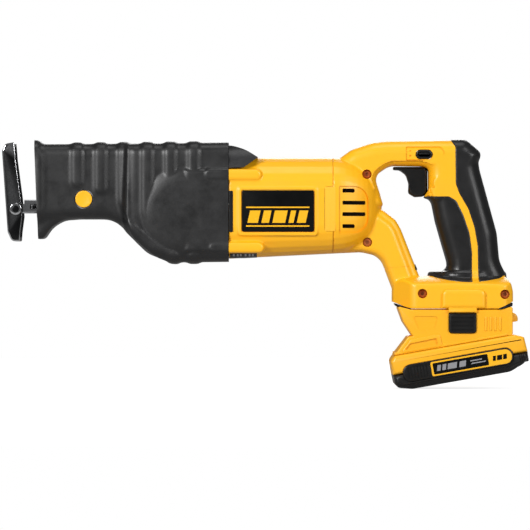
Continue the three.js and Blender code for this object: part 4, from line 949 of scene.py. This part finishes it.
def make_pack_shells():
    upper = packed([(-58.5, 0.15), (58.5, 0.15), (57.6, 13, 2), (50.0, 16.1, 2), (-55, 16.1, 3), (-58.5, 12, 3)],
                   -PACK_HALF, PACK_HALF, edge=3.2, segments=4)
    upper = cut(upper, packed_box(-90, 90, -REACH, REACH, -20, 0.15))
    rails = join(packed_box(-40, 46, -18, 18, 12, 20.1, edge=0.4), packed_box(-40, 46, -22, 22, 19.7, 25.7, edge=0.8))
    upper = join(upper, rails)
    lower = packed([(-58.5, -0.15), (-58.3, -7.9, 4), (-56, -11.5, 4), (-44, -14.5, 12), (41, -14.5, 12),
                    (53.2, -9.8, 6), (58.0, -5.7, 4), (58.5, -0.15)], -PACK_HALF, PACK_HALF, edge=4, segments=5)
    lower = cut(lower, packed_box(-90, 90, -REACH, REACH, -0.15, 20))
    for s in (-1, 1):
        # A ledge line along the tray under the band, and upright grip ribs at its rear corners.
        lower = cut(lower, packed([(-54, -10.2), (42, -10.2), (54, -6.4), (54, -5.8), (41.6, -9.6), (-54, -9.6)],
                                  s * 36.8, s * 50))
        for u in (50.6, 52.4, 54.2, 56.0):
            lower = cut(lower, packed_box(u, u + 0.8, *sorted((s * 36.5, s * 50)), -9.5, -0.8))
    u0, u1, w0, w1 = BAND
    band = packed(rect(u0 - 0.5, u1 + 0.5, w0 - 0.5, w1 + 0.5, 7.3), -REACH, REACH)
    band = cut(band, box(-200, 400, -36.3, 36.3, -300, 100))
    upper = cut(upper, band, keep=True)
    lower = cut(lower, band)
    upper = cut(upper, packed_box(-50.5, 48.5, -34.9, 34.9, -5, 13.7),
                *[packed_box(-41, -22, y - 1, y + 1, 21, 27) for y in (-12, -6, 0, 6, 12)])
    lower = cut(lower, packed_box(-50.5, 48.5, -34.9, 34.9, -12, 5),
                packed_box(46.2, 64, -13.3, 13.3, -9.3, -0.9))
    finish_piece(upper, "pack_cover", "pack", PACK_NYLON_PAINTED_SHADE, "pack_upper_shell", slot="yellow_plastic")
    finish_piece(lower, "pack_tray", "pack", BLACK_NYLON, "pack_lower_shell", slot="black_plastic")


def make_pack_bands():
    """On each side a capsule across the parting line: a ribbed thumb pad, then a label plate."""
    u0, u1, w0, w1 = BAND
    for s, word in ((-1, "left"), (1, "right")):
        back, face = s * 36.1, s * 37.6
        band = packed(rect(u0, u1, w0, w1, 7), back, face, edge=0.7)
        for i in range(7):
            u = -45.5 + i * 2.6
            band = cut(band, packed(rect(u, u + 1.2, w0 + 2.2, w1 - 2.2, 0.5), s * 37.0, s * 40))
        finish_piece(band, word + "_pack_band", "pack", BLACK_NYLON, slot="black_plastic")
        plate = packed([(-25.5, w0 + 1.1, 1.5), (44.6, w0 + 1.1, 6), (44.6, w1 - 1.1, 6), (-25.5, w1 - 1.1, 1.5)],
                       s * 37.2, s * 37.8, edge=0.2)
        plate = cut(plate, packed(rect(-23.8, 24, w0 + 2.4, w1 - 2.4, 1), s * 37.5, s * 40))
        finish_piece(plate, word + "_pack_label", "pack", LABEL_YELLOW, slot="yellow_plastic")
        panel = packed(rect(-23.7, 23.9, w0 + 2.5, w1 - 2.5, 0.9), s * 37.3, s * 37.7)
        finish_piece(panel, word + "_pack_panel", "pack", LABEL_FILM, slot="black_plastic")
        marks = []
        for u, width in ((-21, 3.2), (-16.4, 3.2), (-11.8, 8.0), (-1.6, 5.6), (8.6, 12.5)):
            z0, z1 = (-3.0, 1.9) if width < 8.1 else (-2.2, -1.2)
            marks.append(packed(leaning(u, width, z0, z1, 1.2), s * 37.5, s * 37.76))
        marks.append(packed(rect(8.6, 18.8, 0.2, 1.2), s * 37.5, s * 37.76))
        finish_piece(join(*marks), word + "_pack_marks", "pack", LABEL_GREY, slot="black_plastic")
        dark = [packed(leaning(u, width, -2.8, 1.4, 0.8), s * 37.5, s * 37.9)
                for u, width in ((27.6, 2.6), (31.2, 4.4), (36.6, 3.2))]
        finish_piece(join(*dark), word + "_pack_bars", "pack", LABEL_FILM, slot="black_plastic")


def make_latch():
    body = packed_box(50.5, 59.4, -13, 13, -9, -1.2, edge=0.8)
    for i in range(3):
        w = -7.4 + i * 2.1
        body = cut(body, packed_box(58.6, 61, -11, 11, w, w + 1))
    finish_piece(body, "pack_latch_ridged", "pack_latch", BLACK_NYLON, "pack_latch_button", slot="black_plastic")


# ------------------------------------------------------------------ shoe
PIVOT = (-144, -1.5)
PIN_HOLE = 3.3
SHOE_AT = Matrix.Translation((PIVOT[0], 0, PIVOT[1])) @ Matrix.Rotation(radians(-4), 4, "Y")
SHOE_SIDE = [(-8.3, -19.3, 4), (-8.3, 50.5, 5), (-5.4, 56.6, 4), (3, 57.6, 1.2), (3.2, 42, 20), (5.3, 8, 20),
             (5.7, -6.6, 8), (2.9, -20.3, 8), (1.8, -28, 1.2), (-5.4, -27.4, 4)]
SHOE_INSIDE = [(-5.6, -21, 2), (-5.6, 50, 3), (-2.5, 54.4, 2), (30, 54.4), (30, -24.8), (-2.5, -24.8, 2)]


def make_shoe():
    body = slab(SHOE_SIDE, -17, 17, edge=1.1, segments=3, tilt=SHOE_AT)
    inside = slab(SHOE_INSIDE, -14.6, 14.6, edge=1.0, tilt=SHOE_AT)
    slot = box(-20, -3, -6.5, 6.5, -14, 47, edge=2.0, tilt=SHOE_AT)
    pin = rod("y", PIN_HOLE, -40, 40, at=PIVOT)
    body = cut(body, inside, slot, pin)
    piece = finish_piece(body, "shoe_channel", "shoe", BLACK_STEEL, "shoe_plate", slot="dark_steel")
    piece.data.materials.append(CHROME)
    for face in piece.data.polygons:
        if 0.15 < abs(face.normal.y) < 0.985:
            face.material_index = 1


def make_pivot_pin():
    body = rod("y", 3.0, -18, 18, at=PIVOT)
    for s in (-1, 1):
        y0, y1 = sorted((s * 17.3, s * 19.1))
        head = rod("y", 5.2, y0, y1, at=PIVOT, edge=0.7)
        dimple = rod("y", 3.2, *sorted((s * 17.9, s * 21)), at=PIVOT)
        body = join(body, cut(head, dimple))
        core = rod("y", 3.0, *sorted((s * 17.6, s * 18.5)), at=PIVOT, edge=0.3)
        finish_piece(core, ("left" if s < 0 else "right") + "_shoe_pivot_core", "shoe", BLACK_STEEL, slot="dark_steel")
    finish_piece(body, "shoe_pivot_rivet", "shoe", CHROME, "shoe_pivot_pin", slot="steel")


def make_post():
    front, rear = -143.0, -46.6
    beam = box(front, rear, -9, 9, -5.1, 6.5, edge=1.2)
    lug = rod("y", 5.2, -9, 9, at=PIVOT, edge=0.8)
    nose = box(-160, -137, -20, 20, 3, 20)
    body = cut(join(beam, lug), nose, rod("y", PIN_HOLE, -40, 40, at=PIVOT))
    for s in (-1, 1):
        groove = box(-132, rear - 8, *sorted((s * 6, s * 12)), -1.6, 2.9, edge=0.8)
        body = cut(body, groove)
    finish_piece(body, "shoe_post_bar", "post", CHROME, "shoe_post", slot="steel")


# ------------------------------------------------------------------ parts inside, which keep their CAD shapes
SLOT_MATERIALS = {
    "yellow_plastic": YELLOW_NYLON, "black_plastic": BLACK_NYLON, "grey_rubber": SEAL_RUBBER,
    "cast_aluminium": CAST_ALUMINIUM, "steel": STEEL, "dark_steel": BLACK_STEEL,
    "sintered_bronze": SINTERED_BRONZE, "copper": COPPER, "carbon": CARBON, "cell_wrap": CELL_WRAP,
}


def finish_inside():
    for subpart in frame["record"]["subparts"]:
        node = frame["nodes"].get(subpart["node"])
        if node:
            for material_slot in node.material_slots:
                material_slot.material = SLOT_MATERIALS[subpart["material_slot"]]


make_boot()
make_release_button()
make_top_cap()
make_barrel()
make_window_strips()
make_side_labels()
make_rating_label()
make_handle()
make_vent_shade_sheets()
make_handle_screws()
make_trigger()
make_lock_off()
make_base_trims()
make_adapter()
make_stem()
make_catches()
make_pack_shells()
make_pack_bands()
make_latch()
make_shoe()
make_pivot_pin()
make_post()
finish_inside()


# ------------------------------------------------------------------ floor and light
FLOOR_RADIUS, FLOOR_GAP = 1.3, 0.0005
FLOOR_GLOW = 0.8  # only as the camera sees it
ROOM_GLOW = 0.14  # what the white room gives the tool
# Name, place from the middle of the view, size in metres, power in watts.
LIGHTS = (("key", (-1.35, -2.1, 0.85), 0.6, 50), ("front_fill", (1.6, -1.9, 0.9), 1.0, 30),
          ("top", (0.1, -0.4, 1.6), 0.8, 6), ("back_fill", (0.4, 2.2, 0.9), 1.2, 18))


def make_stage():
    floor_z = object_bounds()[0].z
    bm = bmesh.new()
    bmesh.ops.create_circle(bm, cap_ends=True, segments=96, radius=FLOOR_RADIUS)
    bmesh.ops.translate(bm, vec=(0, 0, floor_z - FLOOR_GAP), verts=bm.verts)
    floor = from_bmesh(bm, "studio_floor")
    floor.data.materials.append(white_paper())


def white_paper():
    """Backdrop paper lit so evenly that it reads as plain white, with a soft shadow under the tool."""
    material = surface("white_paper", "#bcbcbc", "#c0c0c0", 0.95, grain_mm=4.0, grain_depth=0.01, specular=0.0)
    tree = material.node_tree
    shader = next(node for node in tree.nodes if node.type == "BSDF_PRINCIPLED")
    shader.inputs["Emission Color"].default_value = (1, 1, 1, 1)
    glow = add(tree, "ShaderNodeMath", {0: add(tree, "ShaderNodeLightPath").outputs["Is Camera Ray"], 1: FLOOR_GLOW},
               operation="MULTIPLY")
    tree.links.new(glow.outputs["Value"], shader.inputs["Emission Strength"])
    return material


def area_light(name, place, aim, size, power):
    data = bpy.data.lights.new(name, "AREA")
    data.energy, data.size, data.shape = power, size, "SQUARE"
    light = bpy.data.objects.new(name, data)
    light.location = place
    light.rotation_euler = (aim - place).to_track_quat("-Z", "Y").to_euler()
    placed(light)


def make_light():
    world = bpy.data.worlds.new("studio")
    bpy.context.scene.world = world
    world.use_nodes = True
    tree = world.node_tree
    background = tree.nodes["Background"]
    background.inputs["Color"].default_value = (1, 1, 1, 1)
    seen = add(tree, "ShaderNodeMix",
               {"Factor": add(tree, "ShaderNodeLightPath").outputs["Is Camera Ray"], "A": ROOM_GLOW, "B": 1.0},
               data_type="FLOAT")
    tree.links.new(seen.outputs["Result"], background.inputs["Strength"])
    for name, place, size, power in LIGHTS:
        area_light(name, VIEW_CENTRE + Vector(place), VIEW_CENTRE, size, power)


make_stage()
make_light()
bpy.context.scene.view_settings.view_transform = "Standard"
